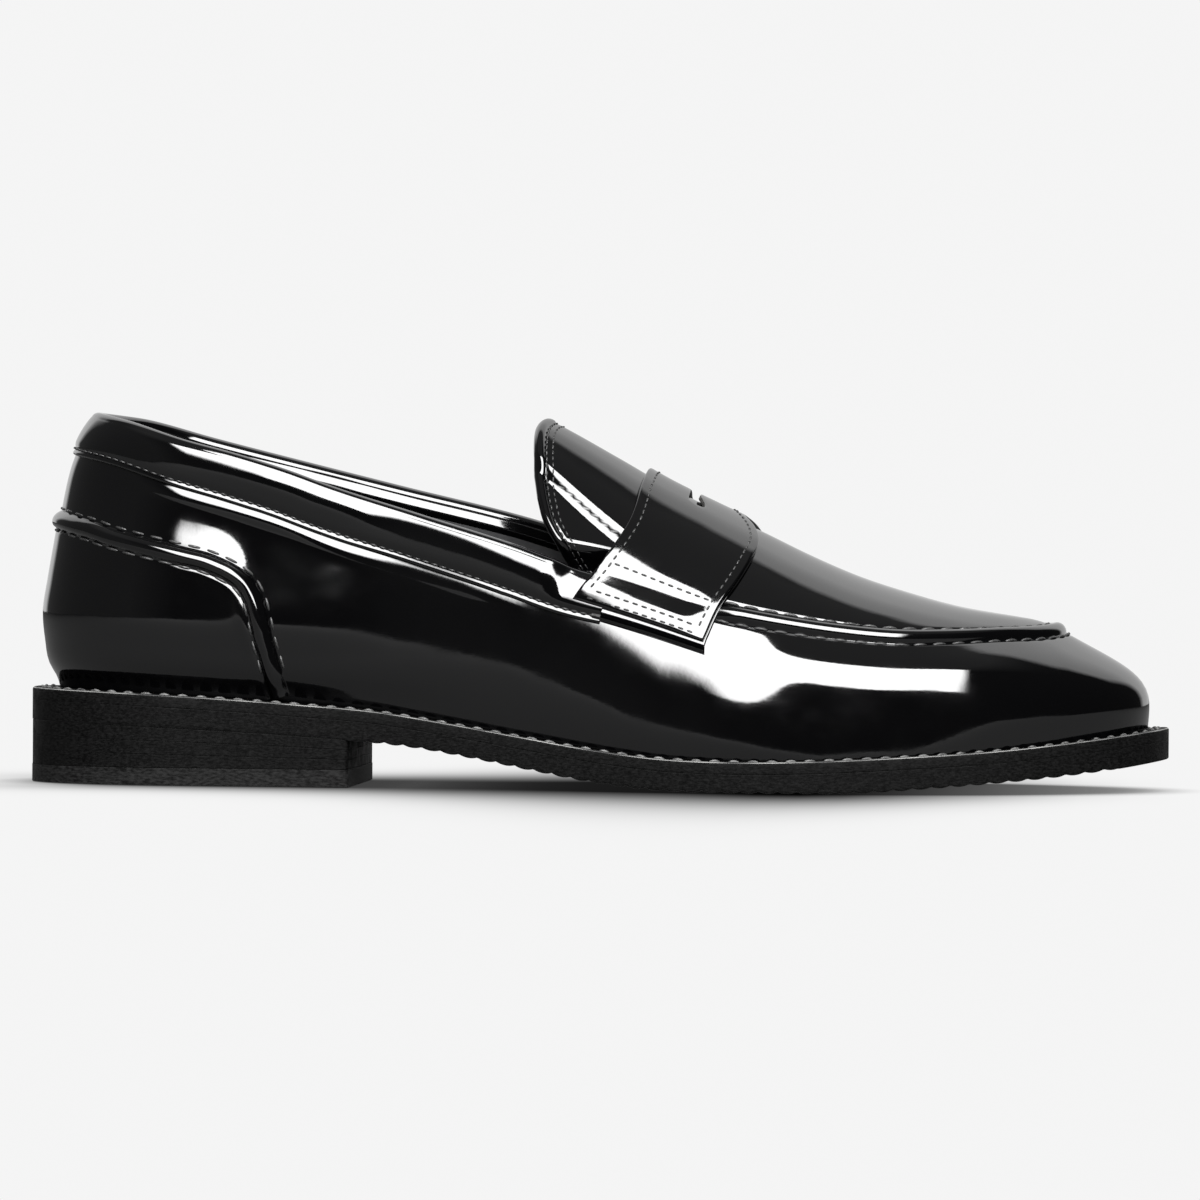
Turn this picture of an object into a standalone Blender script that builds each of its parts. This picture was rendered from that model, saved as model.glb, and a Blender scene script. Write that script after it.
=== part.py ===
"""Penny loafer, right shoe: the toe points to +X, the outer side to -Y, and the ground is z = 0.

Every piece of the upper lies on one surface, the last. A place on it is (around, up): `around` runs from the
back of the heel (0) along the outer side to the toe (1) and back along the inner side to the heel (2), and
`up` runs from the welt (0) to the ridge of the instep (1). Lengths are in millimetres until a mesh is made.
"""
import math

import bmesh
import bpy
import numpy as np

MM = 0.001

# Driving dimensions
HALF_LENGTH = 150.0          # of the sole
WELT_MARGIN = 5.5            # how far the welt stands out past the upper
WELT_THICKNESS = 3.2
HEEL_BREAST = -62.6          # where the heel block ends
TOP_PIECE = 4.5              # the rubber layer of the heel
GAP = 0.3                    # between neighbouring pieces
LAYER_GAP = 0.7              # between curved layers, whose facets differ
LEATHER = 1.3
LINING = 0.8
STIFFENER = 1.1
COLLAR_BAND = 11.2           # height of the band along the topline
RIDGE_WIDTH = 4.2            # of the raised seams
THREAD = 0.35                # radius of a seam thread
BINDING = 3.0                # of the tongue's rolled edge
HINGE_X, HINGE_Z = 11.0, 79.5
TONGUE_ROOT = HINGE_X - 0.6
PLUG_REAR = HINGE_X + 0.6
APRON_FROM = 34.5             # the apron's raised seam starts under the strap
COLLAR_END = -1.5
STRAP_HEIGHT = 3.0           # outer face of the strap above the last


def curve(*points):
    """A smooth function through (x, value) points, constant past both ends."""
    xs, ys = np.array(points, float).T
    slopes = np.gradient(ys, xs)

    def at(x):
        x = np.clip(x, xs[0], xs[-1])
        i = np.clip(np.searchsorted(xs, x) - 1, 0, len(xs) - 2)
        step = xs[i + 1] - xs[i]
        t = (x - xs[i]) / step
        rise = (3 - 2 * t) * t * t
        bend_in = t * (1 - t) ** 2 * step * slopes[i]
        bend_out = t * t * (t - 1) * step * slopes[i + 1]
        return ys[i] * (1 - rise) + ys[i + 1] * rise + bend_in + bend_out

    return at


def smoothstep(x, start, end):
    t = np.clip((x - start) / (end - start), 0, 1)
    return t * t * (3 - 2 * t)


def sole_bottom(x):
    """The outsole's underside, which is flat on the ground at the ball of the foot."""
    return np.maximum(tread(x), 0)


# The sole in plan: a centre line that bends towards the big toe, and a half width to each side of it.
centre_line = curve((-150, 0), (-60, -1), (0, 0), (60, 1), (150, 5))
outer_width = curve((-150, 33), (-110, 33.5), (-60, 35), (-20, 41), (20, 49.5), (45, 52.85), (75, 51),
                    (100, 47), (125, 42), (150, 38))
inner_width = curve((-150, 33), (-110, 33), (-60, 30.5), (-25, 29), (10, 37), (40, 47), (65, 51),
                    (90, 48), (120, 41), (150, 36))
TOE_ROUND, HEEL_ROUND = 92.0, -108.0     # where the rounding of each end begins

# Heights along the shoe
welt_top = curve((-150, 25.2), (-126, 24.4), (-100, 23.2), (-75, 21.6), (-56, 20.1), (-37, 17.3), (-18.5, 14.2),
                 (0.5, 11.1), (19.4, 8.9), (38, 8.3), (56.5, 8.6), (81, 9.8), (105.5, 11.5), (130, 14.2), (150, 16.9))
tread = curve((-150, 16.2), (-100, 14.4), (-62, 12.1), (-46, 10.5), (-29, 7.7), (-14, 4.9), (0, 2.4), (14, 0.7),
              (28, 0), (48, 0), (68, 0), (87, 1.3), (103, 2.6), (119, 4.1), (136, 6.2), (150, 8.4))
ridge_height = curve((-150, 106), (-60, 106), (-30, 103), (-13.9, 96.4), (5.2, 86.1), (17.9, 78.9), (30.6, 72.8),
                     (43.3, 67), (56, 60.9), (68.6, 55.6), (81.3, 51.5), (93.9, 48), (109, 45.2))
outer_top = curve((-144.5, 96), (-130, 93.6), (-110, 88.2), (-94, 84.4), (-80, 80.3), (-70, 76.7), (-45, 69),
                  (-20, 61.4), (-4, 55.8), (15, 51.4), (36, 46.2), (48, 44), (64, 41.7), (80, 40.4), (93, 40.5),
                  (110, 41.1), (125, 41.5), (144.5, 42.3))
inner_top = curve((-144.5, 96), (-130, 94.4), (-110, 89.7), (-93, 85.8), (-56, 76.9), (-14, 66.3), (15, 56),
                  (42, 48), (78, 42.4), (105, 41.6), (125, 41.7), (144.5, 42.3))

# Sections: how square they are, how the heel curves in, and how far the sides swell out over the waist.
fullness = curve((-20, 1.9), (15, 1.85), (52, 2), (84, 2.3), (110, 2.4), (135, 2), (144.5, 1.85))
heel_curve = curve((0, 0.93), (0.03, 0.95), (0.08, 1.012), (0.15, 1.042), (0.24, 1.06), (0.35, 1.026), (0.5, 0.97),
                   (0.6, 0.937), (0.75, 0.848), (0.84, 0.745), (1, 0.56))
outer_swell = curve((-90, 0), (-30, 0.1), (20, 0.05), (60, 0))
toe_chisel = curve((84, 0), (144.5, 0.07))
inner_swell = curve((-90, 0), (-25, 0.28), (20, 0.1), (60, 0))
TOE_FAN, TOE_FAN_START = 36.0, 68.0      # the sections turn round the toe and round the heel
HEEL_FAN, HEEL_FAN_START = 36.5, -70.0


def plan(around, inset=0.0):
    """x and y of the sole's outline, moved in by `inset`."""
    around = np.mod(around, 2)
    side = np.where(around > 1, 2 - around, around)
    end = HALF_LENGTH - inset
    x = -end * np.cos(np.pi * side)
    to_toe = np.clip((x - TOE_ROUND) / (end - TOE_ROUND), 0, 1)
    to_heel = np.clip((HEEL_ROUND - x) / (HEEL_ROUND + end), 0, 1)
    rounding = (1 - to_toe ** 2.25) ** (1 / 2.25) * (1 - to_heel ** 2.1) ** (1 / 2.1)
    half = np.where(around > 1, inner_width(x), -outer_width(x))
    half = half - np.sign(half) * inset
    return x, centre_line(x) + half * rounding


def around_at(x, inner=False, inset=WELT_MARGIN):
    """The place around the outline that lies at x."""
    side = np.arccos(np.clip(-np.asarray(x, float) / (HALF_LENGTH - inset), -1, 1)) / np.pi
    return 2 - side if inner else side


def last(around, up):
    """Points of the last's surface."""
    around, up = np.broadcast_arrays(np.mod(around, 2), np.asarray(up, float))
    edge_x, edge_y = plan(around, WELT_MARGIN)
    fan_toe = TOE_FAN * (np.clip(edge_x - TOE_FAN_START, 0, None) / (144.5 - TOE_FAN_START)) ** 2
    fan_heel = HEEL_FAN * (np.clip(HEEL_FAN_START - edge_x, 0, None) / (144.5 + HEEL_FAN_START)) ** 2
    spine_x = edge_x - fan_toe + fan_heel
    spine_y = centre_line(spine_x)
    low, high = welt_top(edge_x), ridge_height(spine_x)
    power = 2 / fullness(edge_x)
    turn = np.clip(up, 0, 1) * np.pi / 2
    inward, rise = np.cos(turn) ** power, np.sin(turn) ** power
    swell = np.where(around > 1, inner_swell(edge_x), outer_swell(edge_x))
    inward = inward + swell * np.sin(np.pi * rise) + toe_chisel(edge_x) * np.sin(2 * np.pi * rise ** 1.5)
    forward = smoothstep(spine_x, -85, -20)
    rise = forward * rise + (1 - forward) * up
    inward = forward * inward + (1 - forward) * heel_curve(up)
    return np.stack([spine_x + (edge_x - spine_x) * inward, spine_y + (edge_y - spine_y) * inward,
                     low + (high - low) * rise], axis=-1)


def slopes(around, up, step=1e-4):
    """How the surface moves with each coordinate."""
    up = np.clip(up, step, 1 - step)
    along = (last(around + step, up) - last(around - step, up)) / (2 * step)
    rising = (last(around, up + step) - last(around, up - step)) / (2 * step)
    return along, rising


def outward(around, up):
    """Unit normals, pointing away from the foot."""
    along, rising = slopes(around, up)
    normal = np.cross(along, rising)
    return normal / np.linalg.norm(normal, axis=-1, keepdims=True)


def up_at(around, height):
    """The `up` at which the surface reaches a height."""
    around, height = np.broadcast_arrays(np.asarray(around, float), np.asarray(height, float))
    low, high = np.zeros(around.shape), np.ones(around.shape)
    for _ in range(22):
        middle = (low + high) / 2
        above = last(around, middle)[..., 2] > height
        low, high = np.where(above, low, middle), np.where(above, middle, high)
    return (low + high) / 2


def shifted(around, up, distance):
    """A line on the surface moved sideways by a distance, to the left of its direction seen from outside."""
    points = last(around, up)
    direction = np.gradient(points, axis=0)
    direction /= np.linalg.norm(direction, axis=1, keepdims=True)
    aside = np.cross(outward(around, up), direction) * distance
    along, rising = slopes(around, up)
    aa, ar, rr = (along * along).sum(1), (along * rising).sum(1), (rising * rising).sum(1)
    fa, fr = (along * aside).sum(1), (rising * aside).sum(1)
    det = aa * rr - ar * ar
    return around + (fa * rr - fr * ar) / det, up + (fr * aa - fa * ar) / det


def wall_top(around):
    """`up` of the wall's top edge: the topline behind the strap and the apron seam in front of it."""
    x, _ = plan(around, WELT_MARGIN)
    return up_at(around, np.where(np.mod(around, 2) > 1, inner_top(x), outer_top(x)))


# Meshes

def add_object(name, points, faces, smooth=True):
    mesh = bpy.data.meshes.new(name)
    mesh.from_pydata([tuple(p) for p in np.asarray(points) * MM], [], [tuple(f) for f in faces])
    work = bmesh.new()
    work.from_mesh(mesh)
    bmesh.ops.remove_doubles(work, verts=work.verts, dist=1e-7)
    bmesh.ops.recalc_face_normals(work, faces=work.faces)
    work.to_mesh(mesh)
    work.free()
    mesh.shade_smooth() if smooth else mesh.shade_flat()
    mesh.update()
    obj = bpy.data.objects.new(name, mesh)
    bpy.context.scene.collection.objects.link(obj)
    return obj


def grid_faces(rows, columns, skip=lambda row, column: False):
    return [[r * columns + c, r * columns + c + 1, (r + 1) * columns + c + 1, (r + 1) * columns + c]
            for r in range(rows - 1) for c in range(columns - 1) if not skip(r, c)]


def closed_between(name, top, bottom, skip=lambda row, column: False, smooth=True):
    """One closed body between two grids of points. Points of a grid that coincide are joined."""
    rows, columns = top.shape[:2]
    top, bottom = top.reshape(-1, 3), bottom.reshape(-1, 3)
    _, first, same = np.unique(np.round(top, 4), axis=0, return_index=True, return_inverse=True)
    same = same.reshape(-1)
    faces = []
    for face in grid_faces(rows, columns, skip):
        corners = list(dict.fromkeys(same[face]))
        if len(corners) > 2:
            faces.append(corners)
    count = len(first)
    edges = [(f[i], f[(i + 1) % len(f)]) for f in faces for i in range(len(f))]
    rim = set(edges) - {(b, a) for a, b in edges}
    faces += [[i + count for i in reversed(f)] for f in faces]
    faces += [[b, a, a + count, b + count] for a, b in rim]
    return add_object(name, np.concatenate([top[first], bottom[first]]), faces, smooth)


def sheet(name, around, up, outer, thickness, skip=lambda row, column: False):
    """A leather piece over a grid of (around, up), its outer face `outer` above the last."""
    base, normal = last(around, up), outward(around, up)
    lift = np.broadcast_to(outer, around.shape)[..., None]
    return closed_between(name, base + normal * lift, base + normal * (lift - thickness), skip)


def sweep(name, rings):
    """A solid through rings of points, with flat ends."""
    count, sides = rings.shape[:2]
    faces = [list(range(sides))[::-1], list(range((count - 1) * sides, count * sides))]
    for here in range(0, (count - 1) * sides, sides):
        for c in range(sides):
            after = (c + 1) % sides
            faces.append([here + c, here + after, here + after + sides, here + c + sides])
    return add_object(name, rings.reshape(-1, 3), faces)


def frames(around, up, lift=0.0):
    """Points, outward normals and sideways directions of a line `lift` above the last."""
    normal = outward(around, up)
    points = last(around, up) + normal * np.broadcast_to(lift, around.shape)[:, None]
    direction = np.gradient(points, axis=0)
    direction /= np.linalg.norm(direction, axis=1, keepdims=True)
    return points, normal, np.cross(normal, direction)


def profile_along(name, around, up, profile, lift=0.0):
    """A strip with a cross-section of (outward, sideways) points, laid along a line `lift` above the last."""
    points, normal, aside = frames(around, up, lift)
    profile = np.broadcast_to(profile, (len(points),) + np.shape(profile)[-2:])
    rings = points[:, None] + normal[:, None] * profile[..., :1] + aside[:, None] * profile[..., 1:]
    return sweep(name, rings)


def thread(name, around, up, base):
    """A seam thread lying on a face that is `base` above the last."""
    round_profile = [(GAP + 2 * THREAD, 0), (GAP, THREAD), (GAP, -THREAD)]
    return profile_along(name, around, up, round_profile, base)


def slab(name, stations, inset, bottom, top, smooth=False):
    """A flat piece of the sole between two heights, across the whole outline at each station x."""
    x = np.asarray(stations, float)
    outer, inner = around_at(x, False, inset), around_at(x, True, inset)
    _, y_outer = plan(outer, inset)
    _, y_inner = plan(inner, inset)
    across = np.stack([y_outer, y_inner], axis=1)
    lengthwise = np.repeat(x[:, None], 2, axis=1)
    high = np.stack([lengthwise, across, np.repeat(np.broadcast_to(top, x.shape)[:, None], 2, 1)], -1)
    low = np.stack([lengthwise, across, np.repeat(np.broadcast_to(bottom, x.shape)[:, None], 2, 1)], -1)
    return closed_between(name, high, low, smooth=smooth)


def stations(start, end, count, inset=0.0):
    """x values that crowd where the outline turns round the heel or the toe."""
    first, final = around_at(start, inset=inset), around_at(end, inset=inset)
    return -(HALF_LENGTH - inset) * np.cos(np.pi * np.linspace(first, final, count))


def ring(name, count, outer_inset, inner_inset, bottom, top, first=0.0, final=2.0):
    """A flat band that follows the outline between two insets."""
    around = np.linspace(first, final, count)
    columns = [plan(around, inset) for inset in (outer_inset, inner_inset)]
    high = np.stack([np.stack([x, y, top(x)], -1) for x, y in columns], axis=1)
    low = np.stack([np.stack([x, y, bottom(x)], -1) for x, y in columns], axis=1)
    return closed_between(name, high, low, smooth=False)


def span(around, low, high, columns):
    """A grid that runs up the surface from `low` to `high` at each place around."""
    part = np.linspace(0, 1, columns)
    return np.repeat(around[:, None], columns, 1), low[:, None] + (high - low)[:, None] * part


# Sole and heel

def make_sole():
    ribs_from, ribs_to, pitch, crest, depth = -58.0, 136.0, 5.0, 3.0, 1.2
    rows = [(x, 0.0) for x in stations(-HALF_LENGTH, ribs_from - 1, 16)]
    for rib in np.arange(ribs_from, ribs_to, pitch):
        rows += [(rib, 0.0), (rib + crest, 0.0), ((rib + crest + rib + pitch) / 2, depth)]
    rows += [(x, 0.0) for x in stations(ribs_to + 1, HALF_LENGTH, 8)]
    x, cut = np.array(rows).T
    slab("outsole", x, 0.0, sole_bottom(x) + cut, welt_top(x) - WELT_THICKNESS - 2 * GAP)
    ring("welt", 61, 0.3, WELT_MARGIN + 5,
         lambda x: welt_top(x) - WELT_THICKNESS - GAP, lambda x: welt_top(x) - GAP)
    ring("insole_rib", 49, WELT_MARGIN + 6, WELT_MARGIN + 8.5,
         lambda x: welt_top(x) - WELT_THICKNESS, lambda x: welt_top(x) - GAP)
    x = stations(-138.0, 136.0, 34, WELT_MARGIN + 5)
    slab("insole", x, WELT_MARGIN + 5, welt_top(x), welt_top(x) + 2.5)
    x = stations(-2.0, 130.0, 20, WELT_MARGIN + 10)
    slab("cork_filler", x, WELT_MARGIN + 10, welt_top(x) - WELT_THICKNESS, welt_top(x) - GAP)
    seat = WELT_MARGIN + 7
    x = stations(-137.0, -62.0, 16, seat)
    slab("heel_pad", x, seat, welt_top(x) + 2.5 + GAP, welt_top(x) + 4)
    sock = WELT_MARGIN + 5.5
    x = stations(-137.5, 135.0, 34, sock)
    over_pad = 1.8 * smoothstep(x, -45, -58)
    slab("sock_liner", x, sock, welt_top(x) + 2.5 + GAP + over_pad, welt_top(x) + 3.7 + over_pad)


def make_shank():
    x = np.linspace(-95, -8, 12)
    half = 6 + 0.5 * np.sin(np.linspace(0, np.pi, 12))
    y = centre_line(x)[:, None] + half[:, None] * np.array([-1, 1])
    grid_x = np.repeat(x[:, None], 2, 1)
    under = np.repeat((welt_top(x) - 2.4)[:, None], 2, 1)
    closed_between("shank", np.stack([grid_x, y, under + 1.4], -1), np.stack([grid_x, y, under], -1), smooth=False)


def make_heel():
    """The heel block: a rubber top piece and three leather lifts, held by five nails."""
    x = stations(-HALF_LENGTH, HEEL_BREAST, 16)
    under = sole_bottom(x) - GAP
    floor = TOP_PIECE + GAP
    levels = [floor + (under + GAP - floor) * share for share in (0, 1 / 3, 2 / 3, 1)]
    layers = [slab("heel_top_piece", x, 0.0, 0.0 * x, 0.0 * x + TOP_PIECE)]
    for name, low, high in zip(("heel_lift_lower", "heel_lift_middle", "heel_lift_upper"), levels, levels[1:]):
        layers.append(slab(name, x, 0.4, low, high - GAP))
    around = np.linspace(0, 2 * np.pi, 7)[:-1]
    places = [(-136, 0), (-118, -21), (-118, 21), (-84, -21), (-84, 19)]
    for number, (nail_x, nail_y) in enumerate(places, 1):
        nail = nail_rings(nail_x, nail_y, around, 1.0, 0.8, 11.5)
        sweep(f"heel_nail_{number}", nail)
        cutter = sweep(f"nail_hole_{number}", nail_rings(nail_x, nail_y, around, 1.0 + GAP, -1.0, 11.5 + GAP))
        cutter.hide_render = True
        cutter.display_type = "WIRE"
        for layer in layers:
            hole = layer.modifiers.new(f"hole_{number}", "BOOLEAN")
            hole.operation = "DIFFERENCE"
            hole.object = cutter


def nail_rings(x, y, around, radius, low, high):
    circle = np.stack([x + radius * np.cos(around), y + radius * np.sin(around)], -1)
    return np.stack([np.column_stack([circle, np.full(len(around), z)]) for z in (low, high)])


# Wall, apron and their seams

def hidden_depth(around):
    """How much deeper the lining lies where the heel counter and the toe puff are."""
    x, _ = plan(around, WELT_MARGIN)
    return (STIFFENER + LAYER_GAP) * (smoothstep(x, -72, -84) + smoothstep(x, 84, 98))


def make_wall():
    around = np.linspace(0.0006, 1.9994, 59)
    grid, up = span(around, 0 * around, wall_top(around) - 0.006, 8)
    sheet("vamp_wall", grid, up, 0, LEATHER)
    around = np.linspace(0.0006, 1.9994, 49)
    top = wall_top(around)
    x, _ = plan(around, WELT_MARGIN)
    below_collar = up_at(around, last(around, top)[:, 2] - 5.5)
    lining_top = np.where(x < 4, below_collar, top - 0.012)
    grid, up = span(around, 0 * around + 0.07, lining_top, 8)
    sheet("wall_lining", grid, up, -LEATHER - LAYER_GAP - hidden_depth(grid), LINING)
    around = np.linspace(around_at(99.0), around_at(99.0, True), 17)
    grid, up = span(around, 0 * around + 0.04, wall_top(around) - 0.03, 5)
    sheet("toe_puff", grid, up, -LEATHER - LAYER_GAP, STIFFENER)
    around = np.linspace(around_at(-84.0, True) - 2, around_at(-84.0), 19) % 2
    grid, up = span(around, 0 * around + 0.03, up_at(around, 0 * around + 62), 8)
    sheet("heel_counter", grid, up, -LEATHER - LAYER_GAP, STIFFENER)


def apron_grid(first_x, rows, columns, clear):
    """(around, up) over the top of the forefoot: across the ridge at each station, folded at the toe."""
    side = np.linspace(around_at(first_x), 1, rows)
    across = np.linspace(-1, 1, columns)
    around = np.where(across[None] < 0, side[:, None], 2 - side[:, None])
    edge = np.stack([wall_top(side), wall_top(2 - side)], 1) + clear
    low = np.where(across[None] < 0, edge[:, :1], edge[:, 1:])
    return around, 1 - (1 - low) * np.abs(across)[None]


def make_apron():
    around, up = apron_grid(PLUG_REAR, 19, 15, 0.006)
    sheet("apron_plug", around, up, 0, LEATHER)
    around, up = apron_grid(PLUG_REAR, 15, 11, 0.02)
    sheet("plug_lining", around, up, -LEATHER - LAYER_GAP - hidden_depth(around), LINING)
    around = np.linspace(around_at(APRON_FROM), around_at(APRON_FROM, True), 53)
    up = wall_top(around)
    half = RIDGE_WIDTH / 2
    swelling = np.ones(len(around))
    swelling[:2] = swelling[-2:] = 0.35
    domed = np.array([(0.35, -half), (0.35, half), (1.7, half * 0.85), (2.6, 0), (1.7, -half * 0.85)])
    profile = np.repeat(domed[None], len(around), 0)
    profile[..., 0] = 0.35 + (profile[..., 0] - 0.35) * swelling[:, None]
    profile_along("apron_piping", around, up, profile)
    for name, side in (("apron_thread_inner", 1), ("apron_thread_outer", -1)):
        line = shifted(around, up, side * (half + THREAD + 0.7))
        thread(name, line[0][1:-1], line[1][1:-1], 0)


def foxing_edge(count):
    """Centre line of the raised seam of the heel foxing, from the welt on the outer side to the inner side."""
    x = np.array([-82, -83.8, -85.3, -86.2, -88.2, -90.6, -94.5, -99.8, -106, -117, -126, -135, -144.5])
    z = np.array([26.3, 32.8, 38.1, 42.5, 49.2, 52.9, 55.6, 57.9, 59.5, 62, 64.2, 66.8, 69])
    outer = around_at(x)
    around = np.concatenate([outer, 0 - outer[-2::-1]])
    height = np.concatenate([z, z[-2::-1]])
    length = np.cumsum(np.hypot(np.gradient(around) * 150, np.gradient(height)))
    even = np.linspace(length[0], length[-1], count)
    around = np.interp(even, length, around)
    height = np.interp(even, length, height)
    return around, up_at(around % 2, height)


def make_foxing():
    """The piece round the heel. Its raised seam runs from outer to inner side, with the piece on its left."""
    around, up = foxing_edge(35)
    half = RIDGE_WIDTH / 2
    edge = shifted(around, up, half + 0.4)
    grid, rise = span(edge[0], 0 * edge[0] + 0.012, edge[1], 5)
    sheet("heel_foxing", grid, rise, LAYER_GAP + LEATHER, LEATHER)
    domed = [(0.35, -half), (0.35, half), (1.7, half * 0.85), (2.5, 0), (1.7, -half * 0.85)]
    profile_along("foxing_piping", around, up, domed)
    row = half + THREAD + 0.7
    thread("foxing_thread_lower", *trimmed(*shifted(around, up, row)), LAYER_GAP + LEATHER)
    thread("foxing_thread_upper", *trimmed(*shifted(around, up, -row)), 0)


def trimmed(around, up):
    """A line without its two end points, which lie on the welt."""
    return around[1:-1], up[1:-1]


# Collar

def make_collar():
    """A band folded over padding along the topline, running round the heel from under the strap."""
    start = around_at(COLLAR_END)
    around = np.linspace(start, -start, 37)
    up = wall_top(around)
    points, normal, aside = frames(around, up)

    def leg(distance, height):
        line = shifted(around, up, distance)
        return last(*line) + outward(*line) * height

    def roll(height, rise):
        return points + normal * height - aside * rise

    outside, inside = GAP + LINING + 0.2, GAP
    fold = [leg(COLLAR_BAND, outside), leg(COLLAR_BAND / 2, outside), leg(0, outside), roll(0.6, 1.5),
            roll(-1.3, 2.2), roll(-3.3, 1.2), roll(-4.0, -0.8), roll(-4.0, -4.0), roll(-3.3, -4.0),
            roll(-3.3, -0.6), roll(-2.7, 0.7), roll(-1.3, 1.3), roll(0.2, 0.7), leg(0, inside),
            leg(COLLAR_BAND / 2, inside), leg(COLLAR_BAND, inside)]
    sweep("collar_band", np.stack(fold, axis=1))
    turn = np.linspace(0, 2 * np.pi, 7)[:-1]
    padding = np.stack([roll(-2.35 + 0.55 * math.cos(a), -1.9 + 1.9 * math.sin(a)) for a in turn], axis=1)
    sweep("collar_padding", padding[1:-1])
    thread("collar_thread", *trimmed(*shifted(around, up, COLLAR_BAND - 1.5)), outside)


# Strap: `across` runs from its outer bottom edge (-1) over the ridge (0) to its inner bottom edge (1).

strap_rear = curve((0, 12.3), (0.3, 11.3), (0.64, 8.3), (0.84, 2.4), (1, -4.2))
strap_front = curve((0, 36.8), (0.1, 38.5), (0.2, 40.5), (0.37, 42.3), (0.53, 40.8), (0.72, 37.1), (0.83, 33.8),
                    (1, 29.8))
strap_bottom = curve((-6, 49.6), (12, 44.2), (31, 38))
SLOT_X, SLOT_ACROSS = 24.4, 0.27


def over_instep(x, across, bottom):
    """(around, up) of points at x, a share `across` of the way down from the ridge to the heights `bottom`."""
    around = np.where(across < 0, around_at(x), around_at(x, True))
    low = up_at(around, bottom)
    return around, 1 - (1 - low) * np.abs(across)


def strap_line(x, across):
    return over_instep(x, across, strap_bottom(x))


def make_strap():
    side = np.linspace(SLOT_ACROSS, 1, 8)
    across = np.concatenate([-side[::-1], np.linspace(-SLOT_ACROSS, SLOT_ACROSS, 7)[1:-1], side])
    away = np.abs(across)
    rear, front = strap_rear(away), strap_front(away)
    half_slot = 1.3 + 1.7 * np.clip(away / SLOT_ACROSS, 0, 1) ** 2
    middle = SLOT_X + (rear + front - strap_rear(0) - strap_front(0)) / 2 * (away > SLOT_ACROSS)
    lips = middle - half_slot, middle + half_slot
    x = np.stack([rear, (rear + lips[0]) / 2, *lips, (lips[1] + front) / 2, front], axis=1)
    across_grid = np.repeat(across[:, None], x.shape[1], 1)
    around, up = strap_line(x, across_grid)
    slot_rows = range(len(side) - 1, len(across) - len(side))
    sheet("saddle_strap", around, up, STRAP_HEIGHT, 1.4, lambda row, column: column == 2 and row in slot_rows)
    inset = 2.0
    whole = np.linspace(-0.96, 0.96, 25)
    for name, edge in (("strap_thread_rear", strap_rear(abs(whole)) + inset),
                       ("strap_thread_front", strap_front(abs(whole)) - inset)):
        thread(name, *strap_line(edge, whole), STRAP_HEIGHT)
    for side_name, sign in (("outer", -1), ("inner", 1)):
        share = np.linspace(0.1, 0.9, 9)
        for row, distance in (("tack", 0.8), ("lower", 0.93), ("edge", 0.97)):
            here = strap_rear(distance) + (strap_front(distance) - strap_rear(distance)) * share
            thread(f"strap_thread_{row}_{side_name}", *strap_line(here, sign * distance + 0 * here), STRAP_HEIGHT)
        reach = np.linspace(0.55, 1.05, 8)
        rear, front = strap_rear(reach) + 5.2, strap_front(reach) - 3
        x = rear[:, None] + (front - rear)[:, None] * np.linspace(0, 1, 5)
        around, up = strap_line(x, sign * np.repeat(reach[:, None], 5, 1))
        sheet(f"strap_underlay_{side_name}", around, up, LAYER_GAP + 0.6, 0.6)


# Tongue, which moves about its root under the strap

tongue_tip = curve((0, -13.2), (0.3, -15), (0.44, -14.9), (0.62, -13.9), (0.72, -13), (0.83, -10.8), (0.94, -5.6),
                   (1, -1.2))


def tongue_line(x, across):
    bottom = np.where(across < 0, 57.5, 60.0)
    return over_instep(x, across, bottom)


def tongue_lift(across):
    """The sides of the tongue lie inside the collar."""
    return -6.5 * smoothstep(np.abs(across), 0.4, 0.85)


def make_tongue():
    pieces = []
    across = np.linspace(-1, 1, 19)
    tip = tongue_tip(abs(across))
    x = TONGUE_ROOT + (tip - TONGUE_ROOT)[:, None] * np.linspace(0, 1, 6)
    grid = np.repeat(across[:, None], 6, 1)
    around, up = tongue_line(x, grid)
    pieces.append(sheet("tongue", around, up, tongue_lift(grid), LEATHER))
    pieces.append(sheet("tongue_lining", around, up, tongue_lift(grid) - LEATHER - GAP, LINING))
    edge, inside = tongue_line(tip, across), tongue_line(tip + BINDING, across)
    normal = outward(*edge)
    edge_points = last(*edge) + normal * tongue_lift(across)[:, None]
    inside_points = last(*inside) + outward(*inside) * tongue_lift(across)[:, None]
    back = (edge_points - inside_points) / BINDING
    under = -LEATHER - GAP - LINING
    fold = [(1.0, -1), (1.0, 0.2), (-1.2, 0.6), (under - 1.0, 0.2), (under - 1.0, -1),
            (under - GAP, -1), (under - GAP, 0.12), (-1.2, 0.2), (GAP, 0.12), (GAP, -1)]
    rings = np.stack([edge_points + normal * height + back * BINDING * share for height, share in fold], axis=1)
    pieces.append(sweep("tongue_binding", rings))
    seam = tongue_line(tip + 5.0, across)
    pieces.append(profile_along("tongue_thread", *seam, [(GAP + 2 * THREAD, 0), (GAP, THREAD), (GAP, -THREAD)],
                                tongue_lift(across)))
    pivot = bpy.data.objects.new("tongue_pivot", None)
    pivot.location = (HINGE_X * MM, 0, HINGE_Z * MM)
    bpy.context.scene.collection.objects.link(pivot)
    bpy.context.view_layer.update()
    for piece in pieces:
        piece.parent = pivot
        piece.matrix_parent_inverse = pivot.matrix_world.inverted()


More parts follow.
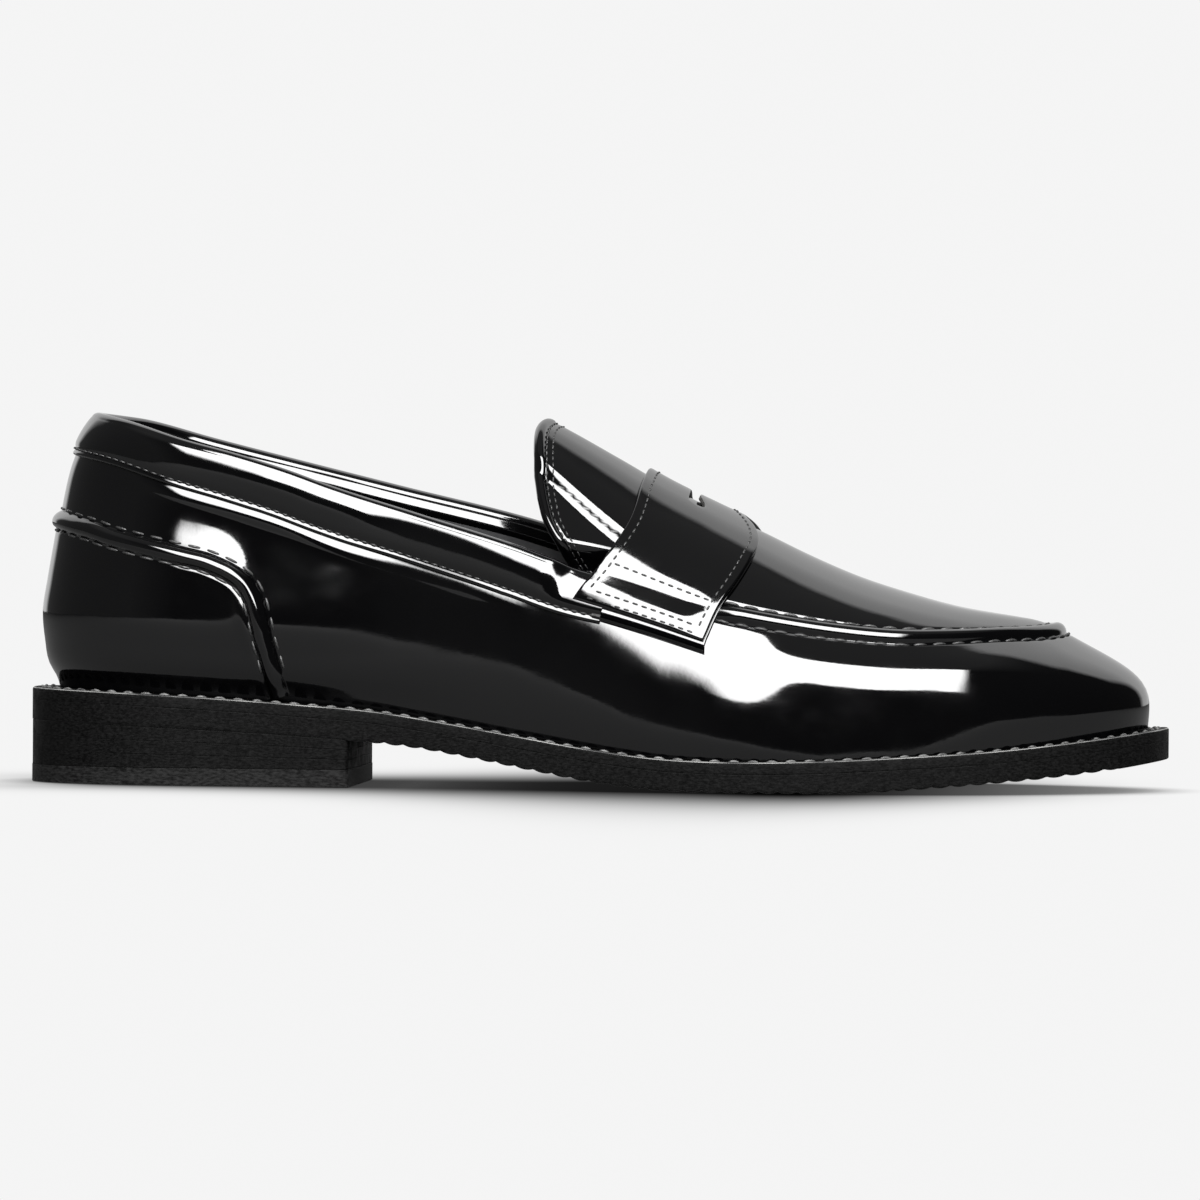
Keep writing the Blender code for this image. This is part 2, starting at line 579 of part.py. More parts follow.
def make_welt_thread():
    around = np.linspace(0.004, 1.996, 61)
    x, y = plan(around, 2.6)
    z = welt_top(x)
    towards, out = np.gradient(x), np.gradient(y)
    length = np.hypot(towards, out)
    side_x, side_y = out / length * THREAD, -towards / length * THREAD
    rings = np.stack([np.stack([x - side_x, y - side_y, z], -1), np.stack([x + side_x, y + side_y, z], -1),
                      np.stack([x, y, z + 2 * THREAD], -1)], axis=1)
    sweep("welt_thread", rings)


# Materials

COLOURS = {
    "patent": ((0.008, 0.008, 0.009), 0.12, 0.0),
    "thread": ((0.01, 0.01, 0.01), 0.8, 0.0),
    "lining": ((0.05, 0.05, 0.055), 0.7, 0.0),
    "sole_leather": ((0.012, 0.012, 0.012), 0.45, 0.0),
    "rubber": ((0.02, 0.02, 0.02), 0.6, 0.0),
    "insole_board": ((0.35, 0.25, 0.16), 0.8, 0.0),
    "cork": ((0.30, 0.18, 0.09), 0.9, 0.0),
    "foam": ((0.5, 0.48, 0.42), 0.9, 0.0),
    "steel": ((0.5, 0.5, 0.5), 0.35, 1.0),
    "brass": ((0.6, 0.42, 0.16), 0.35, 1.0),
}
SUBSTANCE = (
    ("thread", "thread"), ("nail", "brass"), ("shank", "steel"), ("cork", "cork"), ("padding", "foam"),
    ("heel_pad", "foam"), ("lining", "lining"), ("sock", "lining"), ("insole", "insole_board"),
    ("counter", "insole_board"), ("puff", "insole_board"), ("top_piece", "rubber"), ("heel_lift", "sole_leather"),
    ("outsole", "sole_leather"), ("welt", "sole_leather"),
)


def paint():
    """Each piece gets its own material."""
    for obj in bpy.context.scene.objects:
        if obj.type != "MESH" or obj.hide_render:
            continue
        substance = next((value for part, value in SUBSTANCE if part in obj.name), "patent")
        colour, roughness, metallic = COLOURS[substance]
        material = bpy.data.materials.new(obj.name)
        material.use_nodes = True
        surface = material.node_tree.nodes["Principled BSDF"]
        surface.inputs["Base Color"].default_value = (*colour, 1)
        surface.inputs["Roughness"].default_value = roughness
        surface.inputs["Metallic"].default_value = metallic
        obj.data.materials.append(material)


for old in list(bpy.data.objects):
    bpy.data.objects.remove(old)
make_sole()
make_shank()
make_heel()
make_wall()
make_apron()
make_foxing()
make_collar()
make_strap()
make_tongue()
make_welt_thread()
paint()
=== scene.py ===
"""The looks of a black patent penny loafer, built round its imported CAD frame.

The upper's leather lies on one surface, the last. A place on it is (around, up): `around` runs from the back
of the heel (0) along the outer side to the toe (1) and back along the inner side to the heel (2), and `up`
runs from the welt (0) to the ridge of the instep (1). Lengths are in millimetres until a mesh is made.
"""

import math

import bpy
import numpy as np
from mathutils import Matrix, Vector


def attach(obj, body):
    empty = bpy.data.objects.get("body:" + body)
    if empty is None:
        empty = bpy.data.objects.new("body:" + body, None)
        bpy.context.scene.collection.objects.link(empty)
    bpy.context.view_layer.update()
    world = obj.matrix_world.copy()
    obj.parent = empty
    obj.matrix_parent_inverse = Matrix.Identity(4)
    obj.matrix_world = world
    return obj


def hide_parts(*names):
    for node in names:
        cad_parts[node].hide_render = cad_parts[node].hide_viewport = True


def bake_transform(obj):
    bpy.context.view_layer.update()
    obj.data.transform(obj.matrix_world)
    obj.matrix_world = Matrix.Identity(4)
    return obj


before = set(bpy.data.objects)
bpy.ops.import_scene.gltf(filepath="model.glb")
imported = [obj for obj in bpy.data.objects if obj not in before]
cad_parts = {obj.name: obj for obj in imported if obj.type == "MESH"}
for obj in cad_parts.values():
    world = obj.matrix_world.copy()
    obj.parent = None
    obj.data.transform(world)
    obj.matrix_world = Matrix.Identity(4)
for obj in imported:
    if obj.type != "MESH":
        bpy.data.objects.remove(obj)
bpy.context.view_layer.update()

MM = 0.001
SHOE, TONGUE = "shoe", "tongue_flap"

# Driving dimensions
HALF_LENGTH = 150.0          # of the sole
WELT_MARGIN = 5.5            # how far the welt stands out past the upper
WELT_THICKNESS = 3.2
HEEL_BREAST = -62.6          # where the heel block ends
TOP_PIECE = 4.5              # the rubber layer of the heel
COLLAR_BAND = 11.2           # height of the band along the topline
RIDGE = 2.1                  # half width of the raised seams
GROOVE = RIDGE + 0.75        # where the stitch rows lie beside a raised seam
WALL_LINING_DEPTH, PLUG_LINING_DEPTH = 3.9, 3.7

# Gauges of the stitch rows: pitch, length and radius of the stitches
APRON_GAUGE = 5.2, 4.1, 0.36
FOXING_GAUGE = 5.2, 4.1, 0.33
COLLAR_GAUGE = 2.45, 1.9, 0.24
STRAP_GAUGE = 2.5, 1.9, 0.25
TONGUE_GAUGE = 2.2, 1.65, 0.22
WELT_GAUGE = 4.9, 3.5, 0.42


def curve(*points):
    """A smooth function through (x, value) points, constant past both ends."""
    xs, ys = np.array(points, float).T
    slopes = np.gradient(ys, xs)

    def at(x):
        x = np.clip(x, xs[0], xs[-1])
        i = np.clip(np.searchsorted(xs, x) - 1, 0, len(xs) - 2)
        step = xs[i + 1] - xs[i]
        t = (x - xs[i]) / step
        rise = (3 - 2 * t) * t * t
        bend_in = t * (1 - t) ** 2 * step * slopes[i]
        bend_out = t * t * (t - 1) * step * slopes[i + 1]
        return ys[i] * (1 - rise) + ys[i + 1] * rise + bend_in + bend_out

    return at


def smoothstep(x, start, end):
    """0 before `start` and 1 past `end`, which may lie on either side of it."""
    t = np.clip((x - start) / (end - start), 0, 1)
    return t * t * (3 - 2 * t)


def sole_bottom(x):
    """The outsole's underside, which is flat on the ground at the ball of the foot."""
    return np.maximum(tread(x), 0)


# The sole in plan: a centre line that bends towards the big toe, and a half width to each side of it.
centre_line = curve((-150, 0), (-60, -1), (0, 0), (60, 1), (150, 5))
outer_width = curve((-150, 33), (-110, 33.5), (-60, 35), (-20, 41), (20, 49.5), (45, 52.85), (75, 51),
                    (100, 47), (125, 42), (150, 38))
inner_width = curve((-150, 33), (-110, 33), (-60, 30.5), (-25, 29), (10, 37), (40, 47), (65, 51),
                    (90, 48), (120, 41), (150, 36))
TOE_ROUND, HEEL_ROUND = 92.0, -108.0     # where the rounding of each end begins

# Heights along the shoe
welt_top = curve((-150, 25.2), (-126, 24.4), (-100, 23.2), (-75, 21.6), (-56, 20.1), (-37, 17.3),
                 (-18.5, 14.2), (0.5, 11.1), (19.4, 8.9), (38, 8.3), (56.5, 8.6), (81, 9.8), (105.5, 11.5),
                 (130, 14.2), (150, 16.9))
tread = curve((-150, 16.2), (-100, 14.4), (-62, 12.1), (-46, 10.5), (-29, 7.7), (-14, 4.9), (0, 2.4),
              (14, 0.7), (28, 0), (48, 0), (68, 0), (87, 1.3), (103, 2.6), (119, 4.1), (136, 6.2), (150, 8.4))
ridge_height = curve((-150, 106), (-60, 106), (-30, 103), (-13.9, 96.4), (5.2, 86.1), (17.9, 78.9),
                     (30.6, 72.8), (43.3, 67), (56, 60.9), (68.6, 55.6), (81.3, 51.5), (93.9, 48),
                     (109, 45.2))
outer_top = curve((-144.5, 96), (-130, 93.6), (-110, 88.2), (-94, 84.4), (-80, 80.3), (-70, 76.7), (-45, 69),
                  (-20, 61.4), (-4, 55.8), (15, 51.4), (36, 46.2), (48, 44), (64, 41.7), (80, 40.4),
                  (93, 40.5), (110, 41.1), (125, 41.5), (144.5, 42.3))
inner_top = curve((-144.5, 96), (-130, 94.4), (-110, 89.7), (-93, 85.8), (-56, 76.9), (-14, 66.3), (15, 56),
                  (42, 48), (78, 42.4), (105, 41.6), (125, 41.7), (144.5, 42.3))

# Sections: how square they are, how the heel curves in, how far the sides swell out over the waist, and how
# the toe's sides stand up before they turn in.
fullness = curve((-20, 1.9), (15, 1.85), (52, 2), (84, 2.3), (110, 2.4), (135, 2), (144.5, 1.85))
heel_curve = curve((0, 0.93), (0.03, 0.95), (0.08, 1.012), (0.15, 1.042), (0.24, 1.06), (0.35, 1.026),
                   (0.5, 0.97), (0.6, 0.937), (0.75, 0.848), (0.84, 0.745), (1, 0.56))
outer_swell = curve((-90, 0), (-30, 0.1), (20, 0.05), (60, 0))
inner_swell = curve((-90, 0), (-25, 0.28), (20, 0.1), (60, 0))
toe_chisel = curve((84, 0), (HALF_LENGTH - WELT_MARGIN, 0.07))
TOE_FAN, TOE_FAN_START = 36.0, 68.0      # the sections turn round the toe and round the heel
HEEL_FAN, HEEL_FAN_START = 36.5, -70.0


def plan(around, inset=0.0):
    """x and y of the sole's outline, moved in by `inset`."""
    around = np.mod(around, 2)
    side = np.where(around > 1, 2 - around, around)
    end = HALF_LENGTH - inset
    x = -end * np.cos(np.pi * side)
    to_toe = np.clip((x - TOE_ROUND) / (end - TOE_ROUND), 0, 1)
    to_heel = np.clip((HEEL_ROUND - x) / (HEEL_ROUND + end), 0, 1)
    rounding = (1 - to_toe ** 2.25) ** (1 / 2.25) * (1 - to_heel ** 2.1) ** (1 / 2.1)
    half = np.where(around > 1, inner_width(x), -outer_width(x))
    half = half - np.sign(half) * inset
    return x, centre_line(x) + half * rounding


def around_at(x, inner=False, inset=WELT_MARGIN):
    """The place around the outline that lies at x."""
    side = np.arccos(np.clip(-np.asarray(x, float) / (HALF_LENGTH - inset), -1, 1)) / np.pi
    return 2 - side if inner else side


def last(around, up):
    """Points of the last's surface."""
    around, up = np.broadcast_arrays(np.mod(around, 2), np.asarray(up, float))
    edge_x, edge_y = plan(around, WELT_MARGIN)
    end = HALF_LENGTH - WELT_MARGIN
    fan_toe = TOE_FAN * (np.clip(edge_x - TOE_FAN_START, 0, None) / (end - TOE_FAN_START)) ** 2
    fan_heel = HEEL_FAN * (np.clip(HEEL_FAN_START - edge_x, 0, None) / (end + HEEL_FAN_START)) ** 2
    spine_x = edge_x - fan_toe + fan_heel
    spine_y = centre_line(spine_x)
    low, high = welt_top(edge_x), ridge_height(spine_x)
    power = 2 / fullness(edge_x)
    turn = np.clip(up, 0, 1) * np.pi / 2
    inward, rise = np.cos(turn) ** power, np.sin(turn) ** power
    swell = np.where(around > 1, inner_swell(edge_x), outer_swell(edge_x))
    inward = inward + swell * np.sin(np.pi * rise) + toe_chisel(edge_x) * np.sin(2 * np.pi * rise ** 1.5)
    forward = smoothstep(spine_x, -85, -20)
    rise = forward * rise + (1 - forward) * up
    inward = forward * inward + (1 - forward) * heel_curve(up)
    return np.stack([spine_x + (edge_x - spine_x) * inward, spine_y + (edge_y - spine_y) * inward,
                     low + (high - low) * rise], axis=-1)


def slopes(around, up, step=1e-4):
    """How the surface moves with each coordinate."""
    up = np.clip(up, step, 1 - step)
    along = (last(around + step, up) - last(around - step, up)) / (2 * step)
    rising = (last(around, up + step) - last(around, up - step)) / (2 * step)
    return along, rising


def outward(around, up):
    """Unit normals, pointing away from the foot."""
    along, rising = slopes(around, up)
    normal = np.cross(along, rising)
    return normal / np.linalg.norm(normal, axis=-1, keepdims=True)


def up_at(around, height):
    """The `up` at which the surface reaches a height."""
    around, height = np.broadcast_arrays(np.asarray(around, float), np.asarray(height, float))
    low, high = np.zeros(around.shape), np.ones(around.shape)
    for _ in range(22):
        middle = (low + high) / 2
        above = last(around, middle)[..., 2] > height
        low, high = np.where(above, low, middle), np.where(above, middle, high)
    return (low + high) / 2


def shifted(around, up, distance):
    """A line on the surface moved sideways by a distance, to the left of its direction seen from outside."""
    points = last(around, up)
    direction = np.gradient(points, axis=0)
    direction /= np.linalg.norm(direction, axis=1, keepdims=True)
    aside = np.cross(outward(around, up), direction) * distance
    along, rising = slopes(around, up)
    aa, ar, rr = (along * along).sum(1), (along * rising).sum(1), (rising * rising).sum(1)
    fa, fr = (along * aside).sum(1), (rising * aside).sum(1)
    det = aa * rr - ar * ar
    return around + (fa * rr - fr * ar) / det, up + (fr * aa - fa * ar) / det


def wall_top(around):
    """`up` of the wall's top edge: the topline behind the strap and the apron seam in front of it."""
    x, _ = plan(around, WELT_MARGIN)
    return up_at(around, np.where(np.mod(around, 2) > 1, inner_top(x), outer_top(x)))


def frames(around, up):
    """Points, outward normals and sideways directions of a line on the last."""
    normal = outward(around, up)
    points = last(around, up)
    direction = np.gradient(points, axis=0)
    direction /= np.linalg.norm(direction, axis=1, keepdims=True)
    return points, normal, np.cross(normal, direction)


# Meshes

def add_piece(name, points, faces, material, body=SHOE):
    """A smooth mesh piece. Points that coincide are joined, and faces left with no area are dropped."""
    _, first, same = np.unique(np.round(points, 4), axis=0, return_index=True, return_inverse=True)
    same = same.reshape(-1)
    kept = []
    for face in faces:
        corners = list(dict.fromkeys(same[list(face)].tolist()))
        if len(corners) > 2:
            kept.append(corners)
    mesh = bpy.data.meshes.new(name)
    mesh.from_pydata((points[first] * MM).tolist(), [], kept)
    mesh.shade_smooth()
    mesh.materials.append(material)
    obj = bpy.data.objects.new(name, mesh)
    bpy.context.scene.collection.objects.link(obj)
    if body:
        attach(obj, body)
    return obj


def grid_faces(rows, columns, skip=None):
    """The quads between the points of a grid, without those marked in `skip`."""
    cells = np.arange(rows * columns).reshape(rows, columns)
    quads = np.stack([cells[:-1, :-1], cells[1:, :-1], cells[1:, 1:], cells[:-1, 1:]], -1)
    if skip is not None:
        quads = quads[~skip]
    return quads.reshape(-1, 4)


def dress(piece, slot, *nodes):
    """Hide the CAD nodes that a piece stands for."""
    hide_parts(*nodes)


def grid_piece(name, points, material, body=SHOE, skip=None):
    """A piece through a grid of points."""
    rows, columns = points.shape[:2]
    return add_piece(name, points.reshape(-1, 3), grid_faces(rows, columns, skip), material, body)


def loop_piece(name, rings, material, body=SHOE, round_trip=False):
    """A solid through closed rings of points, with flat ends unless it closes on itself."""
    rings = np.concatenate([rings, rings[:, :1]], axis=1)
    if round_trip:
        rings = np.concatenate([rings, rings[:1]])
    rows, columns = rings.shape[:2]
    faces = grid_faces(rows, columns).tolist()
    if not round_trip:
        faces += [list(range(columns - 1)), list(range((rows - 1) * columns, rows * columns - 1))[::-1]]
    return add_piece(name, rings.reshape(-1, 3), faces, material, body)


def on_last(around, up, height=0.0):
    """Points `height` above the last."""
    around, up, height = np.broadcast_arrays(around, up, height)
    return last(around, up) + outward(around, up) * height[..., None]


def bell(x, width):
    """1 at 0, and next to nothing two widths away."""
    return np.exp(-(x / width) ** 2)


# Stitches: each is a short rounded length of thread that dips into the leather at both ends.

def stitches(name, points, normals, gauge, material, node=None, body=SHOE, slant=0.0):
    """A row of stitches along a line of points, `slant` turning each one out of line, in radians."""
    pitch, length, radius = gauge
    step = np.linalg.norm(np.diff(points, axis=0), axis=1)
    travelled = np.concatenate([[0], np.cumsum(step)])
    count = int(travelled[-1] // pitch)
    start = (travelled[-1] - count * pitch + pitch - length) / 2
    sides, cuts = 8, 7
    turn = np.linspace(0, 2 * np.pi, sides, endpoint=False)
    share = np.linspace(0, 1, cuts)
    arch = np.sin(np.pi * share)
    all_points, all_faces = [], []
    for number in range(count):
        at = start + number * pitch + share * length
        centre = np.stack([np.interp(at, travelled, points[:, k]) for k in range(3)], -1)
        normal = np.stack([np.interp(at, travelled, normals[:, k]) for k in range(3)], -1)
        normal /= np.linalg.norm(normal, axis=1, keepdims=True)
        along = (centre[-1] - centre[0]) / np.linalg.norm(centre[-1] - centre[0])
        aside = np.cross(normal, along)
        centre = centre + normal * (radius * (1.5 * arch ** 0.6 - 0.9))[:, None]
        centre = centre + aside * ((share - 0.5) * length * math.tan(slant))[:, None]
        wide = radius * (0.55 + 0.45 * arch ** 0.5)
        ring = (centre[:, None] + aside[:, None] * (wide[:, None] * np.cos(turn) * 1.1)[..., None]
                + normal[:, None] * (wide[:, None] * np.sin(turn))[..., None])
        ring = np.concatenate([ring, ring[:, :1]], axis=1)
        base = len(all_points) * cuts * (sides + 1)
        all_faces.append(grid_faces(cuts, sides + 1) + base)
        all_points.append(ring.reshape(-1, 3))
    row = add_piece(name, np.concatenate(all_points), np.concatenate(all_faces).tolist(), material, body)
    if node:
        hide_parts(node)


def stitch_row(name, node, line, height, gauge, body=SHOE):
    """Stitches along a line on the last, lying on a face that is `height` above it."""
    stitches(name, on_last(*line, height), outward(*line), gauge, THREAD_FINISH, node, body)


# Materials

class Nodes:
    """Short ways to add nodes to a node tree."""

    def __init__(self, tree):
        self.tree = tree

    def node(self, kind, **settings):
        """A node whose inputs or properties are set by name, with _ for a space."""
        made = self.tree.nodes.new(kind)
        for key, value in settings.items():
            socket = key.replace("_", " ")
            if socket in made.inputs:
                made.inputs[socket].default_value = value
            else:
                setattr(made, key, value)
        return made

    def link(self, source, target):
        self.tree.links.new(source, target)

    def ramp(self, source, low, high, start=0.35, end=0.65, interpolation="LINEAR"):
        """A number that goes from `low` to `high` as the source goes from `start` to `end`."""
        made = self.node("ShaderNodeMapRange", From_Min=start, From_Max=end, To_Min=low, To_Max=high,
                         interpolation_type=interpolation)
        self.link(source, made.inputs["Value"])
        return made.outputs["Result"]

    def calculate(self, operation, first, second=None):
        """One step of arithmetic, on a node's output and another output or a number."""
        made = self.node("ShaderNodeMath", operation=operation)
        self.link(first, made.inputs[0])
        if isinstance(second, float):
            made.inputs[1].default_value = second
        elif second is not None:
            self.link(second, made.inputs[1])
        return made.outputs["Value"]

    def seen_directly(self):
        return self.node("ShaderNodeLightPath").outputs["Is Camera Ray"]

    def end_with(self, output_kind, seen, mirrored):
        """Show one shader to the camera and another one to every other ray."""
        mix = self.node("ShaderNodeMixShader")
        self.link(self.seen_directly(), mix.inputs[0])
        self.link(mirrored.outputs[0], mix.inputs[1])
        self.link(seen.outputs[0], mix.inputs[2])
        self.link(mix.outputs[0], self.node(output_kind).inputs["Surface"])


class Finish(Nodes):
    """A node material built round one Principled shader."""

    def __init__(self, name, colour, roughness, **inputs):
        self.material = bpy.data.materials.new(name)
        self.material.use_nodes = True
        super().__init__(self.material.node_tree)
        self.shader = self.tree.nodes["Principled BSDF"]
        self.shader.inputs["Base Color"].default_value = (*colour, 1)
        self.shader.inputs["Roughness"].default_value = roughness
        for key, value in inputs.items():
            self.shader.inputs[key.replace("_", " ")].default_value = value
        self.place = self.node("ShaderNodeTexCoord").outputs["Object"]
        self.last_normal = None

    def noise(self, size, detail=2.0, stretch=(1, 1, 1), roughness=0.5):
        """Noise whose features are about `size` millimetres across, drawn out along any axis."""
        mapping = self.node("ShaderNodeMapping", Scale=tuple(1 / s for s in stretch))
        self.link(self.place, mapping.inputs["Vector"])
        made = self.node("ShaderNodeTexNoise", Scale=1 / (size * MM), Detail=detail, Roughness=roughness)
        self.link(mapping.outputs["Vector"], made.inputs["Vector"])
        return made.outputs["Fac"]

    def cells(self, size):
        """Rounded cells about `size` millimetres across."""
        made = self.node("ShaderNodeTexVoronoi", Scale=1 / (size * MM))
        self.link(self.place, made.inputs["Vector"])
        return made.outputs["Distance"]

    def blend_colour(self, source, low, high, start=0.35, end=0.65):
        mix = self.node("ShaderNodeMix", data_type="RGBA")
        for socket in mix.inputs:
            if socket.name in ("A", "B") and socket.type == "RGBA":
                socket.default_value = (*(low if socket.name == "A" else high), 1)
        self.link(self.ramp(source, 0, 1, start, end), mix.inputs["Factor"])
        colour = next(output for output in mix.outputs if output.type == "RGBA")
        self.link(colour, self.shader.inputs["Base Color"])

    def drive(self, name, source):
        self.link(source, self.shader.inputs[name])

    def bump(self, source, depth):
        """Relief `depth` millimetres deep, on top of any relief already made."""
        made = self.node("ShaderNodeBump", Strength=1.0, Distance=depth * MM)
        self.link(source, made.inputs["Height"])
        if self.last_normal:
            self.link(self.last_normal, made.inputs["Normal"])
        self.last_normal = made.outputs["Normal"]
        self.drive("Normal", self.last_normal)


def patent_leather():
    """Black patent: a hard clear film over leather that still shows a faint orange peel and slow waves."""
    finish = Finish("patent_leather", (0.0006, 0.0006, 0.0007), 0.07, IOR=1.52)
    finish.drive("Roughness", finish.ramp(finish.noise(9, 4), 0.045, 0.085))
    finish.bump(finish.noise(16, 1), 0.10)
    finish.bump(finish.noise(1.3, 2), 0.004)
    return finish.material


def cut_edge():
    """The raw, dyed edge of thick leather."""
    finish = Finish("cut_edge", (0.03, 0.03, 0.03), 0.6)
    finish.blend_colour(finish.noise(0.7, 4), (0.01, 0.01, 0.01), (0.06, 0.058, 0.055))
    finish.bump(finish.noise(0.5, 4), 0.25)
    return finish.material


def sewing_thread():
    """Waxed black thread, twisted."""
    finish = Finish("sewing_thread", (0.02, 0.02, 0.02), 0.5)
    finish.blend_colour(finish.noise(0.5, 3), (0.001, 0.001, 0.001), (0.018, 0.018, 0.018))
    finish.drive("Roughness", finish.ramp(finish.noise(0.8, 2), 0.35, 0.65))
    finish.bump(finish.noise(0.25, 2), 0.06)
    return finish.material


def welt_thread():
    """The heavier welt thread, black, with a painted sheen in patches that only the camera sees. Its mirror
    image in the leather stays dark.
    """
    finish = Finish("welt_sewing_thread", (0.06, 0.06, 0.06), 0.55)
    direct = finish.seen_directly()
    # Painted sheen: lighter patches of colour and a specular shine, shown to the camera only
    camera_sheen = finish.calculate("MULTIPLY", finish.noise(1.2, 3), direct)
    finish.blend_colour(camera_sheen, (0.004, 0.004, 0.004), (0.08, 0.08, 0.078))
    finish.drive("Specular IOR Level", finish.ramp(direct, 0.0, 0.5, 0, 1))
    finish.bump(finish.noise(0.35, 2), 0.1)
    return finish.material


def lining_leather():
    """Dark grey lining with a soft grain."""
    finish = Finish("lining_leather", (0.05, 0.05, 0.052), 0.75)
    finish.blend_colour(finish.noise(6, 5), (0.010, 0.010, 0.011), (0.022, 0.022, 0.023))
    finish.bump(finish.cells(0.9), 0.05)
    finish.bump(finish.noise(5, 3), 0.15)
    return finish.material


def sole_edge():
    """Black-inked edge of stacked leather, whose fibres run lengthwise. The welt's lighter upper corner is a
    painted highlight with a finish of its own.
    """
    finish = Finish("sole_edge", (0.003, 0.003, 0.003), 0.65, Specular_IOR_Level=0.05)
    grain = finish.noise(0.45, 4, stretch=(2.5, 2.5, 1), roughness=0.7)
    finish.blend_colour(grain, (0.0003, 0.0003, 0.0003), (0.006, 0.006, 0.006), 0.4, 0.72)
    finish.drive("Roughness", finish.ramp(finish.noise(4, 4), 0.55, 0.75))
    finish.bump(grain, 0.07)
    return finish.material


def welt_corner_highlight():
    """The welt's upper corner: a painted highlight, patchy light grey along its length."""
    finish = Finish("welt_corner_highlight", (0.05, 0.05, 0.05), 0.5)
    # Painted highlight: patchy grey, much lighter than the sole edge
    finish.blend_colour(finish.noise(2.5, 5, stretch=(5, 5, 1)), (0.012, 0.012, 0.012), (0.16, 0.16, 0.155))
    finish.bump(finish.noise(0.5, 4), 0.03)
    return finish.material


def sole_tread():
    """The walking side of the outsole, black with a fine grain."""
    finish = Finish("sole_tread", (0.004, 0.004, 0.004), 0.6)
    finish.blend_colour(finish.noise(3, 5), (0.003, 0.003, 0.003), (0.008, 0.008, 0.008))
    finish.bump(finish.cells(0.8), 0.04)
    return finish.material


def heel_rubber():
    finish = Finish("heel_rubber", (0.005, 0.005, 0.005), 0.65, Specular_IOR_Level=0.05)
    grain = finish.noise(0.5, 4, stretch=(3, 3, 1))
    finish.blend_colour(grain, (0.002, 0.002, 0.002), (0.012, 0.012, 0.012))
    finish.bump(finish.noise(0.5, 4), 0.05)
    return finish.material


def insole_board():
    finish = Finish("insole_board", (0.35, 0.25, 0.16), 0.8)
    finish.blend_colour(finish.noise(2, 5), (0.28, 0.19, 0.12), (0.42, 0.31, 0.20))
    finish.bump(finish.noise(0.8, 4), 0.08)
    return finish.material


def cork():
    finish = Finish("cork", (0.3, 0.18, 0.09), 0.9)
    finish.blend_colour(finish.cells(1.8), (0.36, 0.22, 0.11), (0.14, 0.07, 0.03), 0.2, 0.8)
    finish.bump(finish.cells(1.8), 0.3)
    return finish.material


def foam():
    finish = Finish("foam", (0.5, 0.48, 0.42), 0.9)
    finish.blend_colour(finish.cells(0.7), (0.55, 0.53, 0.47), (0.38, 0.36, 0.31), 0.2, 0.8)
    finish.bump(finish.cells(0.7), 0.2)
    return finish.material


def shank_steel():
    finish = Finish("shank_steel", (0.5, 0.5, 0.5), 0.35, Metallic=1.0)
    finish.drive("Roughness", finish.ramp(finish.noise(0.5, 3, stretch=(30, 1, 1)), 0.25, 0.45))
    finish.bump(finish.noise(0.4, 3, stretch=(30, 1, 1)), 0.02)
    return finish.material


def nail_brass():
    finish = Finish("nail_brass", (0.6, 0.42, 0.16), 0.35, Metallic=1.0)
    finish.drive("Roughness", finish.ramp(finish.noise(0.4, 3), 0.25, 0.55))
    finish.bump(finish.noise(0.3, 3), 0.05)
    return finish.material


PATENT = patent_leather()
CUT_EDGE = cut_edge()
THREAD_FINISH = sewing_thread()
WELT_THREAD_FINISH = welt_thread()
LINING_FINISH = lining_leather()
SOLE_EDGE_FINISH = sole_edge()
SOLE_TREAD_FINISH = sole_tread()
WELT_CORNER_HIGHLIGHT = welt_corner_highlight()
RUBBER = heel_rubber()
BOARD, CORK, FOAM = insole_board(), cork(), foam()
STEEL, BRASS = shank_steel(), nail_brass()


# The side wall and the apron over the forefoot

def up_per_mm(around, up):
    """How far `up` moves for a millimetre along the surface."""
    _, rising = slopes(around, up)
    return 1 / np.linalg.norm(rising, axis=-1)


def in_front(around):
    """1 where the top edge of the wall is the apron seam, 0 along the topline."""
    x, _ = plan(around, WELT_MARGIN)
    return smoothstep(x, 26, 34)


def foxing_swell(around, above):
    """How far the layers under the foxing's seam push the leather out, at a distance `above` the seam."""
    x, _ = plan(around, WELT_MARGIN)
    return 0.9 * smoothstep(x, -136, -120) * smoothstep(x, -86, -97) * bell(above, 6.5)


